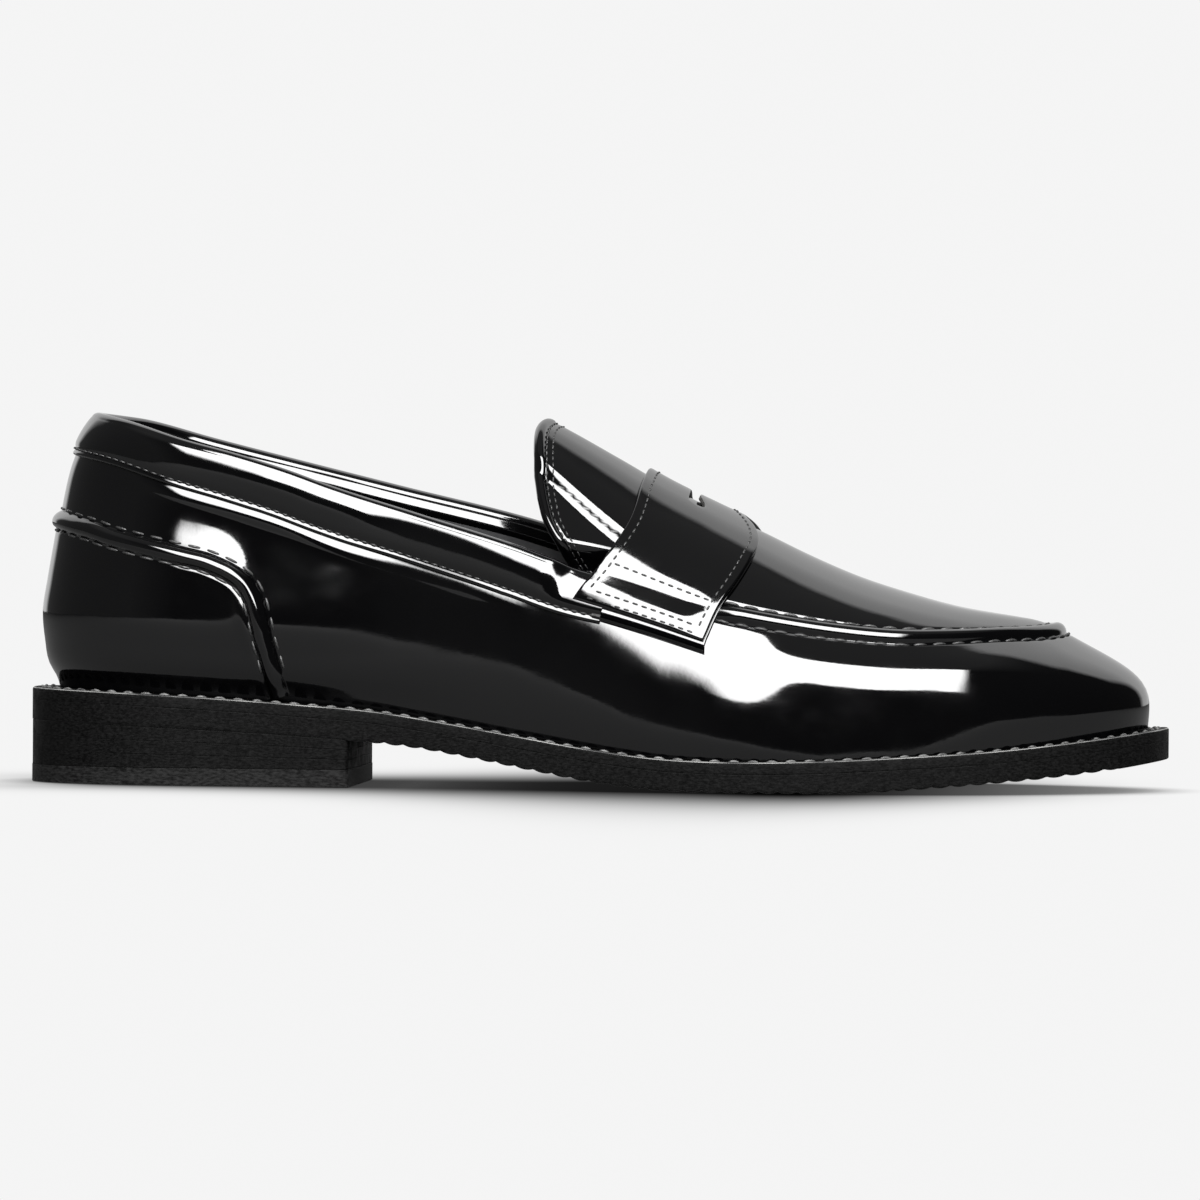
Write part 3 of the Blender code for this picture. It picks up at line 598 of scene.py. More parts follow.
def make_wall():
    """The side leather, tucked under the apron seam, with a groove down the back, a soft pouch along the
    forefoot and a swelling below the collar and along the foxing."""
    around = np.linspace(0, 2, 521)
    top = wall_top(around)
    scale = up_per_mm(around, top)
    near = np.array([26, 24, 22, 20, 18.4, 17, 16, 15, 14, 13, 12, 11, 10, 9, 8, 6.5, 5.4, 4.6, 4.0, 3.6,
                     3.3, 3.05, GROOVE, 2.7, 2.5, 2.2, 1.5, 0.0])
    seam = top[:, None] - near * scale[:, None]
    share = np.linspace(0, 1, 34)[:-1]
    up = np.concatenate([seam[:, :1] * share, seam], axis=1)
    below = (top[:, None] - up) / scale[:, None]
    front = in_front(around)[:, None]
    tucked = -1.2 * smoothstep(below, GROOVE, 2.1) * front
    groove = -0.3 * bell(below - GROOVE, 0.5) * front
    back_seam = -0.35 * bell(HALF_LENGTH * np.minimum(around, 2 - around)[:, None], 0.5)
    x, _ = plan(around[:, None], WELT_MARGIN)
    pouch = 1.4 * smoothstep(x, 38, 58) * smoothstep(x, 126, 98) * bell(below - 12.5, 7)
    along_collar = smoothstep(x, -132, -112) * smoothstep(x, -12, -34)
    under_collar = 0.5 * along_collar * bell(below - COLLAR_BAND - 2.2, 1.7)
    foxing_around, foxing_up = foxing_seam()
    outer_half = slice(FOXING_STEPS // 2, None, -1)
    seam_height = np.interp(np.minimum(around, 2 - around), foxing_around[outer_half],
                            last(foxing_around, foxing_up)[outer_half, 2])
    above = last(around[:, None], up)[..., 2] - seam_height[:, None]
    swell = foxing_swell(around[:, None], above)
    points = on_last(around[:, None], up, tucked + groove + back_seam + pouch + under_collar + swell)
    dress(grid_piece("wall_leather", points, PATENT), "patent_leather", "vamp_wall")


def ridge_height_at(distance, height):
    """The raised seam's section: a dome between two shallow grooves."""
    dome = height * np.clip(1 - (distance / (RIDGE + 0.25)) ** 2, 0, None) ** 0.75
    return dome - 0.2 * bell(np.abs(distance) - GROOVE, 0.5)


def make_apron():
    """The forefoot's top leather together with the raised seam round it."""
    side = np.concatenate([np.linspace(around_at(15.0), around_at(120.0), 90)[:-1],
                           np.linspace(around_at(120.0), 1, 60)])
    across_seam = np.array([-GROOVE - 0.25, -GROOVE, -2.6, -2.3, -2.0, -1.6, -1.1, -0.6, 0, 0.6, 1.1, 1.6,
                            2.0, 2.3, 2.6, GROOVE, 3.05, 3.3, 3.7, 4.2, 5, 6, 7.5])
    halves = []
    for around in (side, 2 - side):
        seam_up = wall_top(around)
        scale = up_per_mm(around, seam_up)
        seam = seam_up[:, None] + across_seam * scale[:, None]
        share = np.linspace(0, 1, 30)[1:]
        up = np.concatenate([seam, seam[:, -1:] + (1 - seam[:, -1:]) * share], axis=1)
        distance = (up - seam_up[:, None]) / scale[:, None]
        x, _ = plan(around, WELT_MARGIN)
        swelling = 1.6 * smoothstep(x, 27, 40)[:, None]
        height = ridge_height_at(distance, swelling)
        height = height - 0.8 * smoothstep(distance, -GROOVE, -GROOVE - 0.25)
        halves.append(on_last(around[:, None], up, height))
    points = np.concatenate([halves[0], halves[1][:, ::-1][:, 1:]], axis=1)
    dress(grid_piece("apron_leather", points, PATENT), "patent_leather", "apron_plug", "apron_piping")
    around = np.linspace(around_at(32.0), around_at(32.0, True), 300)
    top = wall_top(around)
    for name, distance in (("inner", GROOVE + 0.1), ("outer", -GROOVE - 0.1)):
        line = shifted(around, top, distance)
        stitch_row(f"apron_stitches_{name}", f"apron_thread_{name}", line, -0.1, APRON_GAUGE)


# The heel foxing

FOXING_STEPS = 361


def foxing_seam():
    """Centre line of its raised seam, from the welt on the outer side round the back to the inner side."""
    x = np.array([-81.2, -83.8, -85.3, -86.2, -88.2, -90.6, -94.5, -99.8, -106, -117, -126, -135, -144.5])
    z = np.array([23.4, 32.8, 38.1, 42.5, 49.2, 52.9, 55.6, 57.9, 59.5, 62, 64.2, 66.8, 69])
    outer = around_at(x)
    around = np.concatenate([outer, -outer[-2::-1]])
    height = np.concatenate([z, z[-2::-1]])
    length = np.cumsum(np.hypot(np.gradient(around) * HALF_LENGTH, np.gradient(height)))
    at = (length - length[0]) / (length[-1] - length[0])
    smooth_around, smooth_height = curve(*zip(at, around)), curve(*zip(at, height))
    even = np.linspace(0, 1, FOXING_STEPS)
    return smooth_around(even), up_at(smooth_around(even), smooth_height(even))


def make_foxing():
    """The heel's outer leather, with its raised seam and a thickness over the wall."""
    around, up = foxing_seam()
    thickness = 0.8
    across = np.array([-GROOVE - 0.3, -GROOVE, -2.5, -2.1, -1.6, -1.0, -0.4, 0.2, 0.8, 1.4, 1.9, 2.3, 2.6,
                       GROOVE, 3.2, 3.6, 4.2])
    lines = [shifted(around, up, distance) for distance in across]
    heights = ridge_height_at(across, 1.7) + thickness * smoothstep(across, -2.5, 2.5)
    heights = list(heights - 0.7 * smoothstep(across, -GROOVE, -GROOVE - 0.3))
    seam_around, seam_up = lines[-1]
    lowest = 0.002
    for share in np.linspace(0, 1, 26)[1:]:
        lines.append((seam_around, seam_up * (1 - share) + lowest * share))
        heights.append(thickness)
    around_grid = np.stack([line[0] for line in lines], axis=1)
    up_grid = np.clip(np.stack([line[1] for line in lines], axis=1), lowest, 1)
    below = last(around, up)[:, None, 2] - last(around_grid, up_grid)[..., 2]
    points = on_last(around_grid, up_grid, np.array(heights) + foxing_swell(around_grid, below))
    foxing = grid_piece("foxing_leather", points[::-1, ::-1], PATENT)
    dress(foxing, "patent_leather", "heel_foxing", "foxing_piping")
    for name, distance, height in (("lower", GROOVE + 0.1, 0.65), ("upper", -GROOVE - 0.1, -0.1)):
        line = [coordinate[8:-8] for coordinate in shifted(around, up, distance)]
        stitch_row(f"foxing_stitches_{name}", f"foxing_thread_{name}", line,
                   height + foxing_swell(line[0], distance), FOXING_GAUGE)


# The collar: a padded band folded over the topline

def make_collar():
    """Rings run from the band's bottom edge up the outside, over the topline and down the inside."""
    start = around_at(5.0)
    around = np.linspace(start, -start, 361)
    up = wall_top(around)
    points, normal, aside = frames(around, up)
    x, _ = plan(around, WELT_MARGIN)
    lean = 1.8 * smoothstep(x, -138, -112) * smoothstep(x, -4, -11)     # the padding leans out at the sides
    thickness, seam_inset = 0.85, 1.7
    near_edge = [COLLAR_BAND - inset for inset in (0, 0.15, 0.5, 0.9, 1.3, seam_inset, 2.1, 2.6)]

    def outer_ring(down, edge):
        puff = 0.75 * math.sin(math.pi * down / COLLAR_BAND) ** 0.8
        stitch_groove = -0.5 * bell(down - (COLLAR_BAND - seam_inset), 0.8)
        height = edge + puff + stitch_groove + lean * smoothstep(down, 9.5, 0.5)
        return on_last(*shifted(around, up, down), height)

    rings = [outer_ring(COLLAR_BAND, -0.1)]
    for down in (*near_edge, 7.8, 7.0, 6.3, 5.2, 4.2, 3.2, 2.3, 1.5, 0.8, 0.3):
        rounding = (1 - max(0.0, 1 - (COLLAR_BAND - down) / 0.5) ** 2) ** 0.5
        rings.append(outer_ring(down, thickness * rounding))
    for angle in np.radians(np.arange(0, 181, 12)):
        height, rise = lean - 1.6 + 2.45 * math.cos(angle), 2.0 * math.sin(angle)
        rings.append(points + normal * np.reshape(height, (-1, 1)) - aside * rise)
    for rise, height in ((-1, -4.1), (-2, -4.1), (-3, -4.0), (-3.6, -3.8), (-3.8, -3.2)):
        rings.append(points + normal * height - aside * rise)
    band = grid_piece("collar_leather", np.stack(rings, axis=1)[::-1], PATENT)
    dress(band, "patent_leather", "collar_band")
    line = shifted(around, up, COLLAR_BAND - seam_inset)
    stitch_row("collar_stitches", "collar_thread", line, thickness + 0.1, COLLAR_GAUGE)


# The strap: `across` runs from its outer bottom edge (-1) over the ridge (0) to its inner bottom edge (1).

strap_rear = curve((0, 12.3), (0.3, 11.3), (0.64, 8.3), (0.84, 2.4), (1, -4.2))
strap_front = curve((0, 36.8), (0.1, 38.5), (0.2, 40.5), (0.37, 42.3), (0.53, 40.8), (0.72, 37.1),
                    (0.83, 33.8), (1, 29.8))
strap_bottom = curve((-6, 49.6), (12, 44.2), (31, 38))
STRAP_HALF_ARC = 62.0        # its length from the ridge to the bottom edge
STRAP_TOP, STRAP_THICK = 2.1, 1.6
SLOT_X, SLOT_ACROSS = 24.4, 0.27
# The section of a cut edge: how far in from the edge, and the share of the thickness reached there
EDGE = ((1.2, 0.0), (0.1, 0.0), (0.0, 0.12), (0.0, 0.8), (0.1, 0.92), (0.3, 0.985), (0.7, 1.0))
EDGE_IN, EDGE_SHARE = np.array(EDGE).T


def over_instep(x, across, bottom):
    """(around, up) of points at x, a share `across` of the way down from the ridge to a height `bottom`."""
    around = np.where(across < 0, around_at(x), around_at(x, True))
    low = up_at(around, bottom)
    return around, 1 - (1 - low) * np.abs(across)


def strap_place(x, across):
    return over_instep(x, across, strap_bottom(x))


def strap_fold(x, away):
    """The strap's ends swell over the thick seams below them, most at the rear."""
    rear, front = strap_rear(away), strap_front(away)
    fading = smoothstep(x, front, rear * 0.25 + front * 0.75)
    return (0.6 * bell(away - 0.95, 0.035) - 0.35 * bell(away - 0.855, 0.03)) * fading


def strap_row(name, x, across):
    """Stitches along the strap, over the swellings of its ends."""
    height = STRAP_TOP - 0.1 + strap_fold(x, np.abs(across))
    stitch_row(f"strap_stitches_{name}", f"strap_thread_{name}", strap_place(x, across), height, STRAP_GAUGE)


def strap_points():
    """A grid over the strap, and a mask of the cells that its slot leaves open."""
    slot_rows = SLOT_ACROSS * np.sin(np.linspace(-np.pi / 2, np.pi / 2, 41))
    side_rows = np.linspace(SLOT_ACROSS, 1 - 0.8 / STRAP_HALF_ARC, 40)[1:]
    end_rows = 1 - EDGE_IN[::-1] / STRAP_HALF_ARC
    across = np.concatenate([-end_rows[::-1], -side_rows[::-1], slot_rows, side_rows, end_rows])
    row_share = np.concatenate([EDGE_SHARE, np.ones(len(across) - 2 * len(EDGE)), EDGE_SHARE[::-1]])
    away = np.abs(across)
    rear, front = strap_rear(away), strap_front(away)
    to_slot_end = np.clip(away / SLOT_ACROSS, 0, 1)
    half_slot = (1.3 + 1.6 * to_slot_end ** 2) * np.sqrt(1 - to_slot_end ** 8)
    open_slot = np.where(to_slot_end < 1, np.clip(half_slot / 1.3, 0, 1), 0)
    middle = SLOT_X + (rear + front - strap_rear(0) - strap_front(0)) * 0.3
    columns, heights = [], []

    def band(start, end, start_edge, end_edge):
        """Columns from one edge to the other; an edge share of 0 leaves that edge flat."""
        for inset, height in EDGE:
            columns.append(start + inset * start_edge)
            heights.append(1 - (1 - height) * start_edge)
        for part in np.linspace(0, 1, 14)[1:-1]:
            columns.append(start + 0.8 + (end - start - 1.6) * part)
            heights.append(np.ones(len(across)))
        for inset, height in EDGE[::-1]:
            columns.append(end - inset * end_edge)
            heights.append(1 - (1 - height) * end_edge)

    whole_edge = np.ones(len(across))
    band(rear, middle - half_slot, whole_edge, open_slot)
    slot_column = len(columns) - 1
    band(middle + half_slot, front, open_slot, whole_edge)
    x, rise = np.stack(columns, axis=1), np.stack(heights, axis=1) * row_share[:, None]
    around, up = strap_place(x, np.repeat(across[:, None], x.shape[1], 1))
    fold = strap_fold(x, away[:, None])
    skip = np.zeros((len(across) - 1, x.shape[1] - 1), bool)
    skip[:, slot_column] = True
    return on_last(around, up, STRAP_TOP - STRAP_THICK * (1 - rise) + fold * rise), skip


def make_strap():
    points, skip = strap_points()
    strap = grid_piece("strap_leather", points[::-1], PATENT, skip=skip[::-1])
    strap.data.materials.append(CUT_EDGE)
    for face in strap.data.polygons:
        x, y, _ = np.array(face.center) / MM
        if abs(face.normal.z) < 0.5 and abs(x - SLOT_X) < 5 and abs(y) < 20:
            face.material_index = 1
    dress(strap, "patent_leather", "saddle_strap")
    whole = np.linspace(-0.965, 0.965, 300)
    strap_row("rear", strap_rear(abs(whole)) + 2.3, whole)
    strap_row("front", strap_front(abs(whole)) - 2.3, whole)
    for side_name, sign in (("outer", -1), ("inner", 1)):
        for kind, level in (("tack", 0.823), ("lower", 0.953), ("edge", 0.984)):
            span = strap_front(level) - strap_rear(level)
            x = strap_rear(level) + 2.6 + (span - 5.2) * np.linspace(0, 1, 40)
            strap_row(f"{kind}_{side_name}", x, sign * level + 0 * x)
        make_underlay(side_name, sign)


def make_underlay(side_name, sign):
    """The layer that shows past the bottom of the strap's end."""
    reach = np.concatenate([np.linspace(0.5, 1.035, 20), 1.045 - EDGE_IN[::-1] / STRAP_HALF_ARC])
    level = np.concatenate([np.ones(20), EDGE_SHARE[::-1]])
    start, end = strap_rear(reach) + 5.0, strap_front(reach) + 0.3
    x = start[:, None] + (end - start)[:, None] * np.linspace(0, 1, 12)
    around, up = strap_place(x, sign * np.repeat(reach[:, None], x.shape[1], 1))
    points = on_last(around, up, 1.0 - 1.1 * (1 - level[:, None]))
    under = grid_piece(f"strap_backing_{side_name}", points[::-sign], PATENT)
    dress(under, "patent_leather", f"strap_underlay_{side_name}")


# The tongue, whose root lies under the strap. Its stitches ride on the tongue flap's body.

tongue_tip = curve((0, -13.7), (0.3, -15.5), (0.44, -15.4), (0.62, -14.4), (0.72, -13.5), (0.83, -11.3),
                   (0.94, -6.1), (1, -1.5))
TONGUE_SIDE_OUTER, TONGUE_SIDE_INNER = 57.5, 60.0        # heights of its side edges


def tongue_place(x, across):
    return over_instep(x, across, np.where(across < 0, TONGUE_SIDE_OUTER, TONGUE_SIDE_INNER))


def tongue_lift(x, across):
    """The tongue has a soft crease down each side, and its edges lie inside the collar."""
    away = np.abs(across)
    crease = 0.72 + 0.013 * x
    flare = 1.3 * np.clip((away - crease - 0.04) / 0.15, 0, None)
    return -1.7 * smoothstep(away, crease - 0.05, crease + 0.05) + flare - 7 * smoothstep(away, 0.885, 0.98)


def tongue_column(x, across, height):
    """Points `height` above the tongue's face."""
    return on_last(*tongue_place(x, across), tongue_lift(x, across) + height)


def make_tongue():
    """A sheet with a rolled edge: its under side first, then round the edge and forward to the root."""
    across = np.concatenate([-np.linspace(1, 0, 80)[:-1] ** 1.1, np.linspace(0, 1, 80) ** 1.1])
    tip = tongue_tip(abs(across))
    body_length, root = 20.5, 21.0
    edge_in = np.array([0, 0.15, 0.4, 0.7, 1.0, 1.4, 1.8, 2.1, 2.4, 2.7, 3.1, 3.8, 5, 7, 9, 11, 13, 15, 17,
                        19, body_length])
    columns = []
    for distance in edge_in:
        bead = 0.5 * max(0.0, 1 - ((distance - 0.9) / 1.0) ** 2) ** 0.5 - 0.2 * bell(distance - 2.2, 0.3)
        columns.append(tongue_column(tip + distance, across, bead))
    for share in np.linspace(0, 1, 12)[1:]:
        columns.append(tongue_column(tip + body_length + (root - tip - body_length) * share, across, 0.0))
    edge = columns[0]
    back = edge - columns[1]
    back /= np.linalg.norm(back, axis=1, keepdims=True)
    normal = outward(*tongue_place(tip, across))
    under = []
    for angle in np.radians(np.arange(15, 181, 15)):
        under.append(edge - normal + normal * math.cos(angle) + back * 0.9 * math.sin(angle))
    for distance in (2, 4, 7, 11, 16, 20, 24):
        under.append(tongue_column(tip + distance, across, -2.0))
    points = np.stack(under[::-1] + columns, axis=1)
    return grid_piece("tongue_leather", points[::-1], PATENT, body=None)


def finish_tongue():
    tongue = make_tongue()
    dress(tongue, "patent_leather", "tongue", "tongue_binding", "tongue_lining")
    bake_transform(tongue)
    across = np.linspace(-0.99, 0.99, 400)
    for name, node, distance in (("edge", "tongue_thread", 2.4), ("inside", None, 4.0)):
        x = tongue_tip(abs(across)) + distance
        height = tongue_lift(x, across) - 0.05
        stitch_row(f"tongue_stitches_{name}", node, tongue_place(x, across), height, TONGUE_GAUGE, TONGUE)


# The inside

def make_lining():
    around = np.linspace(0, 2, 241)
    top = wall_top(around)
    x, _ = plan(around, WELT_MARGIN)
    scale = up_per_mm(around, top)
    high = np.where(x < 10, top - 2.5 * scale, top)
    lowest, share = 0.03, np.linspace(0, 1, 24)
    up = lowest + (high - lowest)[:, None] * share
    slack = 0.12 * np.sin(around * 21)[:, None] * np.sin(np.pi * share)
    points = on_last(around[:, None], up, -WALL_LINING_DEPTH - slack)
    dress(grid_piece("inside_lining", points, LINING_FINISH), "lining_leather", "wall_lining")
    side = np.linspace(around_at(12.0), 1, 50)
    across = np.linspace(-1, 1, 41)
    place = np.where(across[None] < 0, side[:, None], 2 - side[:, None])
    low = np.where(across[None] < 0, wall_top(side)[:, None], wall_top(2 - side)[:, None])
    points = on_last(place, 1 - (1 - low) * np.abs(across), -PLUG_LINING_DEPTH)
    dress(grid_piece("vamp_lining", points, LINING_FINISH), "lining_leather", "plug_lining")


def make_sock():
    inset = WELT_MARGIN + 4.2
    x = -(HALF_LENGTH - inset) * np.cos(np.pi * np.linspace(0.02, 0.98, 160))
    outer, inner = around_at(x, False, inset), around_at(x, True, inset)
    y_outer, y_inner = plan(outer, inset)[1], plan(inner, inset)[1]
    part = np.linspace(0, 1, 25)
    y = y_outer[:, None] + (y_inner - y_outer)[:, None] * part
    dish = 1.4 * (2 * part - 1) ** 4
    z = (welt_top(x) + 4.2 + 1.8 * smoothstep(x, -45, -58))[:, None] + dish
    points = np.stack([np.repeat(x[:, None], 25, 1), y, z], axis=-1)
    dress(grid_piece("sock_lining", points, LINING_FINISH), "lining_leather", "sock_liner")


# Welt, outsole and heel

WELT_DROP = 0.3              # how far the welt's face lies below the last's bottom edge
LAYER_GAP = 0.03             # between two layers of the bottom


def make_welt():
    """A strip of leather with softened edges, whose upward-facing corner carries a painted highlight."""
    around = np.linspace(0, 2, 601)[:-1]
    floor = LAYER_GAP - WELT_THICKNESS
    section = ((WELT_MARGIN + 2, floor), (0.3, floor), (0.03, floor), (0.0, floor + 0.03),
               (0.0, floor + 0.27), (0.0, -0.7), (0.12, -0.28), (0.4, -0.05), (0.9, 0.05), (1.6, 0.0),
               (2.1, -0.22), (2.6, -0.3), (3.1, -0.22), (3.6, 0.0), (WELT_MARGIN + 2, 0.1))
    rings = []
    for inset, rise in section:
        x, y = plan(around, inset)
        rings.append(np.stack([x, y, welt_top(x) - WELT_DROP + rise], -1))
    welt = loop_piece("stitched_welt", np.stack(rings, axis=1), SOLE_EDGE_FINISH, round_trip=True)
    welt.data.materials.append(WELT_CORNER_HIGHLIGHT)
    # Faces tilted upward, along the rounded upper corner, get the painted highlight
    for face in welt.data.polygons:
        if 0.3 < face.normal.z < 0.85:
            face.material_index = 1
    dress(welt, "sole_leather", "welt")


def make_welt_stitches():
    around = np.linspace(0.0, 2.0, 1201)
    x, y = plan(around, 2.6)
    points = np.stack([x, y, welt_top(x) - 0.46], -1)
    normals = np.broadcast_to([0.0, 0.0, 1.0], points.shape)
    stitches("welt_stitches", points, normals, WELT_GAUGE, WELT_THREAD_FINISH, "welt_thread", slant=0.14)


RIB_PITCH, RIB_DEPTH = 4.9, 0.6
RIBS_FROM, RIBS_TO = -58.0, 137.0


def rib_depth(x):
    """How far the tread is cut away at x, between rounded ribs."""
    share = np.mod((x - RIBS_FROM) / RIB_PITCH, 1)
    cut = RIB_DEPTH * (1 - np.sin(np.pi * share) ** 0.7)
    return np.where((x > RIBS_FROM) & (x < RIBS_TO), cut, 0)


def outsole_top(x):
    return welt_top(x) - WELT_THICKNESS - WELT_DROP


def outsole_under(x):
    return sole_bottom(x) + rib_depth(x)


def make_outsole():
    """Half a section runs from the top face down each side, and straight rows join them underneath."""
    side = np.concatenate([np.linspace(0, 0.06, 12)[:-1], np.linspace(0.06, 0.33, 40)[:-1],
                           np.linspace(0.33, 0.94, 620), np.linspace(0.94, 1, 12)[1:]])
    top, under = outsole_top, outsole_under
    section = ((3.0, top, 0.0), (0.3, top, 0.0), (0.03, top, 0.0), (0.0, top, -0.03), (0.0, top, -0.25),
               (0.0, under, 1.3), (0.0, under, 0.4), (0.05, under, 0.15), (0.2, under, 0.03),
               (0.6, under, 0.0))
    halves = []
    for around in (side, 2 - side):
        half = []
        for inset, level, rise in section:
            x, y = plan(around, inset)
            half.append(np.stack([x, y, level(x) + rise], -1))
        halves.append(half)
    outer, inner = halves
    middle = [outer[-1] + (inner[-1] - outer[-1]) * share for share in np.linspace(0, 1, 14)[1:-1]]
    rings = np.stack(outer + middle + inner[::-1], axis=1)
    sole = loop_piece("leather_outsole", rings[::-1], SOLE_EDGE_FINISH)
    sole.data.materials.append(SOLE_TREAD_FINISH)
    for face in sole.data.polygons:
        if face.normal.z < -0.35:
            face.material_index = 1
    dress(sole, "sole_leather", "outsole")


def heel_ring(inset, level):
    """The heel block's outline with rounded breast corners, at heights level(x)."""
    corner = 1.2
    start = around_at(HEEL_BREAST - inset - corner, False, inset)
    around = np.linspace(start, -start, 150)
    x, y = plan(around, inset)
    breast = HEEL_BREAST - inset
    turn = np.linspace(0, np.pi / 2, 6)[1:]
    inner_x = breast - corner + corner * np.sin(turn)
    inner_y = y[-1] - corner * (1 - np.cos(turn))
    outer_x, outer_y = inner_x[::-1], y[0] + corner * (1 - np.cos(turn[::-1]))
    across = np.linspace(inner_y[-1], outer_y[0], 12)[1:-1]
    x = np.concatenate([x, inner_x, np.full(len(across), breast), outer_x])
    y = np.concatenate([y, inner_y, across, outer_y])
    return np.stack([x, y, level(x)], -1)


def heel_layer(name, node, low, high, material, slot, recess=0.0):
    """A flush layer of the heel between two heights, with softened edges."""
    section = ((6.0, low, 0.0), (0.03, low, 0.0), (0.0, low, 0.03), (0.0, low, 0.2), (0.0, high, -0.2),
               (0.0, high, -0.03), (0.03, high, 0.0), (6.0, high, 0.0))
    rings = [heel_ring(inset + recess, lambda x: level(x) + rise) for inset, level, rise in section]
    dress(loop_piece(name, np.stack(rings)[:, ::-1], material), slot, node)


def make_heel():
    floor = TOP_PIECE + LAYER_GAP
    heel_layer("heel_top_piece_rubber", "heel_top_piece", lambda x: 0 * x, lambda x: 0 * x + TOP_PIECE,
               RUBBER, "top_piece_rubber")
    names = ("heel_lift_lower", "heel_lift_middle", "heel_lift_upper")
    for number, node in enumerate(names):
        low = lambda x, share=number / 3: floor + (sole_bottom(x) - floor) * share + LAYER_GAP
        high = lambda x, share=(number + 1) / 3: floor + (sole_bottom(x) - floor) * share
        heel_layer(f"{node}_leather", node, low, high, SOLE_EDGE_FINISH, "sole_leather", recess=0.1)


# The frame's own pieces that stay in place, inside the shoe

def finish_frame():
    finishes = {"cork_filler": CORK, "shank": STEEL, "insole": BOARD, "insole_rib": BOARD,
                "heel_counter": BOARD, "toe_puff": BOARD, "heel_pad": FOAM, "collar_padding": FOAM}
    finishes.update({f"heel_nail_{number}": BRASS for number in range(1, 6)})
    for node, finish in finishes.items():
        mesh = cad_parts[node].data
        mesh.materials.clear()
        mesh.materials.append(finish)


# Floor, light and camera

CAMERA_AZIMUTH, CAMERA_ELEVATION, CAMERA_ROLL = -4.0, 0.7, 0.43      # degrees
CAMERA_DISTANCE, CAMERA_ZOOM = 2.0, 6.323         # metres; focal length as a share of the picture's width
CAMERA_TARGET = (0.0, 0.0, 0.045)
CAMERA_SHIFT = (0.0006, 0.0121)
PALE = (0.91, 0.91, 0.91, 1.0)

shadow_strength = curve((-150, 0.5), (-100, 0.75), (-60, 0.85), (20, 0.95), (70, 0.93), (100, 0.55),
                        (130, 0.1), (150, 0))


def shadow(x, y):
    """The share of light that reaches the floor. The shadow fades with the distance to the sole, slowest at
    the ball."""
    across = y - centre_line(x)
    beside = np.maximum(-across - outer_width(x), across - inner_width(x))
    beyond = np.abs(x) - (HALF_LENGTH - 22)
    distance = np.hypot(np.clip(beside, 0, None), np.clip(beyond, 0, None))
    reach = 30 + 72 * bell(x - 30, 78)
    return 1 - shadow_strength(x) * np.exp(-(distance / reach) ** 1.6)


def floor_finish():
    """The camera sees the floor evenly lit apart from the shadow, and the leather mirrors it darker."""
    material = bpy.data.materials.new("floor")
    material.use_nodes = True
    nodes = Nodes(material.node_tree)
    nodes.tree.nodes.clear()
    shade = nodes.node("ShaderNodeAttribute", attribute_name="shade").outputs["Fac"]
    nearby = nodes.node("ShaderNodeAmbientOcclusion", Distance=0.016, samples=16).outputs["AO"]
    contact = nodes.ramp(nearby, 0.2, 1.0, 0.1, 0.95)
    seen = nodes.node("ShaderNodeEmission", Color=PALE)
    nodes.link(nodes.calculate("MULTIPLY", contact, shade), seen.inputs["Strength"])
    mirrored = nodes.node("ShaderNodeBsdfDiffuse", Color=(0.13, 0.13, 0.13, 1))
    nodes.end_with("ShaderNodeOutputMaterial", seen, mirrored)
    return material


def make_floor():
    """A pale floor, with points close together near the shoe to carry the shadow."""
    half_size, crowding, below_sole = 6000, 4, 0.2
    spread = np.sinh(np.linspace(-crowding, crowding, 161)) / math.sinh(crowding) * half_size
    x, y = np.meshgrid(spread, spread, indexing="ij")
    floor = grid_piece("floor", np.stack([x, y, 0 * x - below_sole], axis=-1), floor_finish(), body=None)
    shade = floor.data.attributes.new("shade", "FLOAT", "POINT")
    where = np.array([vertex.co for vertex in floor.data.vertices]) / MM
    shade.data.foreach_set("value", shadow(where[:, 0], where[:, 1]).astype(np.float32))


def make_world():
    """The camera sees a pale backdrop. The leather mirrors it behind the shoe only, in a dark studio."""
    world = bpy.data.worlds.new("studio")
    bpy.context.scene.world = world
    world.use_nodes = True
    nodes = Nodes(world.node_tree)
    nodes.tree.nodes.clear()
    towards = nodes.node("ShaderNodeSeparateXYZ")
    nodes.link(nodes.node("ShaderNodeTexCoord").outputs["Generated"], towards.inputs[0])
    right, back, above = (towards.outputs[axis] for axis in "XYZ")
    sideways = nodes.calculate("ABSOLUTE", right)
    from_low = nodes.ramp(back, 0, 1.5, 0.34, 0.42)
    inside_sides = nodes.ramp(sideways, 1, 0, 0.60, 0.72)
    at_grazing = nodes.ramp(back, 1.1, 0.5, 0.70, 0.98)
    backdrop = nodes.calculate("MULTIPLY", nodes.calculate("MULTIPLY", from_low, inside_sides), at_grazing)
    ceiling = nodes.ramp(above, 0.0, 0.2, 0.80, 0.92)
    left_wall = nodes.ramp(right, 0.03, 0.14, -0.2, -0.6)
    brightness = nodes.calculate("ADD", nodes.calculate("ADD", backdrop, ceiling), left_wall)
    seen = nodes.node("ShaderNodeBackground", Color=PALE)
    mirrored = nodes.node("ShaderNodeBackground", Color=(1, 1, 1, 1))
    nodes.link(brightness, mirrored.inputs["Strength"])
    nodes.end_with("ShaderNodeOutputWorld", seen, mirrored)


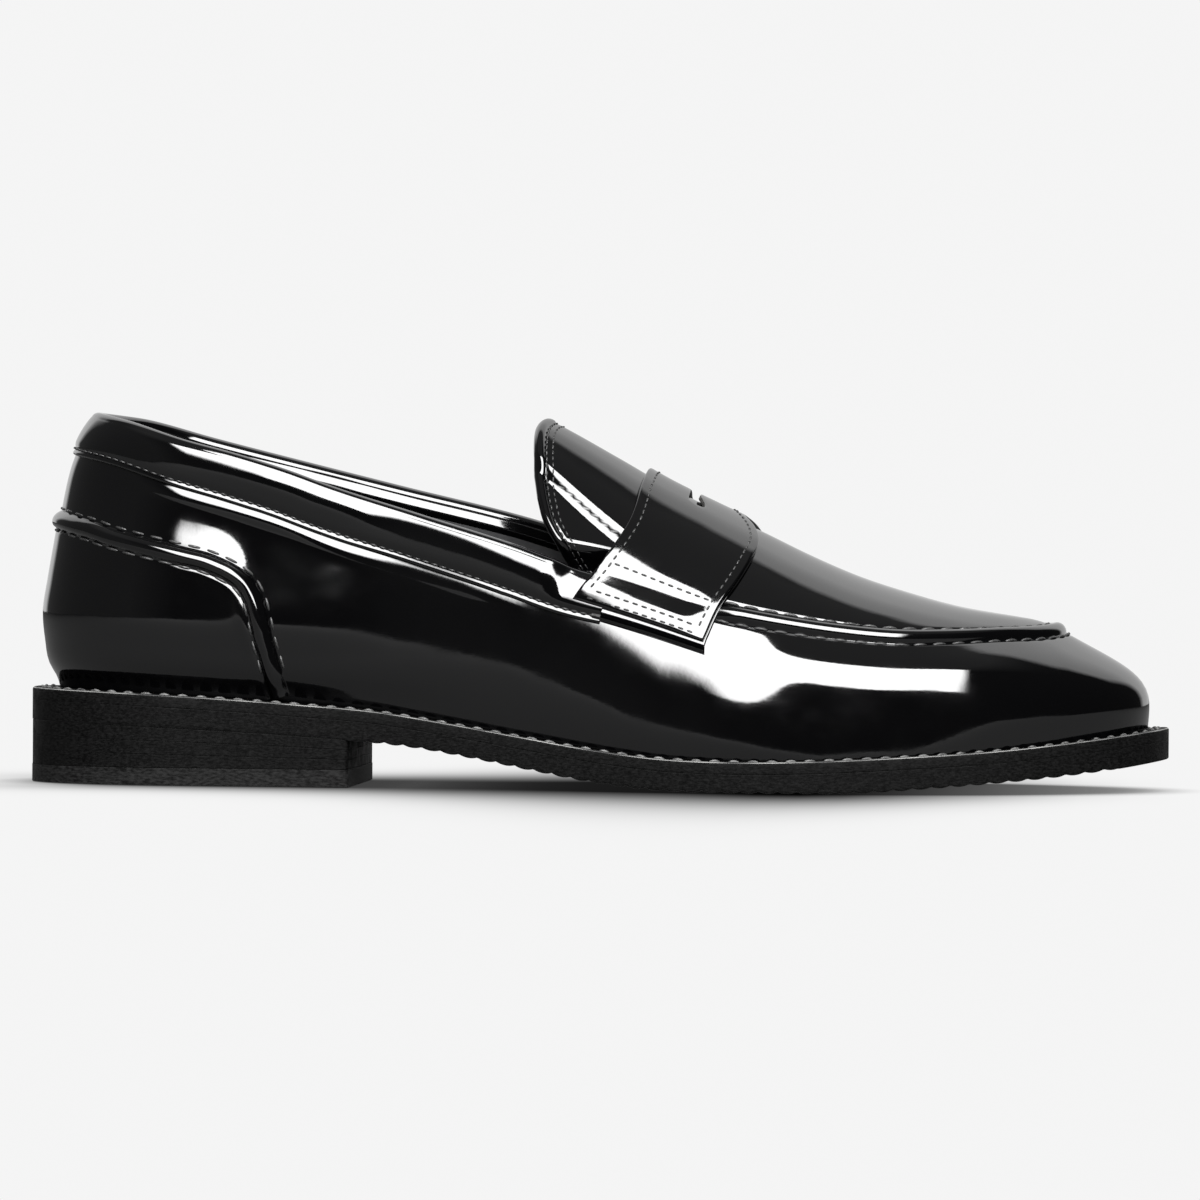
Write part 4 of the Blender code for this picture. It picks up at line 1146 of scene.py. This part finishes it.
def make_softbox():
    """One large light in front of the shoe and above the camera, which fades towards its sides."""
    light = bpy.data.lights.new("softbox", "AREA")
    light.shape = "RECTANGLE"
    light.size, light.size_y = 1.85, 1.95        # metres
    light.energy = 290                           # watts
    light.use_nodes = True
    nodes = Nodes(light.node_tree)
    place = nodes.node("ShaderNodeSeparateXYZ")
    nodes.link(nodes.node("ShaderNodeNewGeometry").outputs["Parametric"], place.inputs[0])
    from_side = nodes.calculate("PINGPONG", place.outputs["X"], 0.5)
    fade = nodes.ramp(from_side, 0, 1, 0, 0.12, interpolation="SMOOTHSTEP")
    nodes.link(fade, nodes.tree.nodes["Emission"].inputs["Strength"])
    azimuth, elevation, distance = math.radians(7.5), math.radians(41), 2.5
    softbox = bpy.data.objects.new("softbox", light)
    softbox.location = (distance * math.cos(elevation) * math.sin(azimuth),
                        -distance * math.cos(elevation) * math.cos(azimuth), distance * math.sin(elevation))
    softbox.rotation_euler = (math.pi / 2 - elevation, 0, azimuth)
    bpy.context.scene.collection.objects.link(softbox)


def make_camera():
    azimuth, elevation, roll = np.radians([CAMERA_AZIMUTH, CAMERA_ELEVATION, CAMERA_ROLL])
    ahead = Vector((math.sin(azimuth) * math.cos(elevation), math.cos(azimuth) * math.cos(elevation),
                    -math.sin(elevation)))
    level = Vector((math.cos(azimuth), -math.sin(azimuth), 0))
    upright = level.cross(ahead)
    right = level * math.cos(roll) + upright * math.sin(roll)
    above = upright * math.cos(roll) - level * math.sin(roll)
    camera = bpy.data.cameras.new("camera")
    camera.sensor_width = 36                     # millimetres
    camera.lens = CAMERA_ZOOM * camera.sensor_width
    camera.shift_x, camera.shift_y = CAMERA_SHIFT
    obj = bpy.data.objects.new("camera", camera)
    turn = Matrix((right, above, -ahead)).transposed().to_4x4()
    obj.matrix_world = Matrix.Translation(Vector(CAMERA_TARGET) - ahead * CAMERA_DISTANCE) @ turn
    bpy.context.scene.collection.objects.link(obj)
    bpy.context.scene.camera = obj


make_wall()
make_apron()
make_foxing()
make_collar()
make_strap()
finish_tongue()
make_lining()
make_sock()
make_welt()
make_welt_stitches()
make_outsole()
make_heel()
finish_frame()
make_floor()
make_world()
make_softbox()
make_camera()
bpy.context.scene.view_settings.view_transform = "Standard"
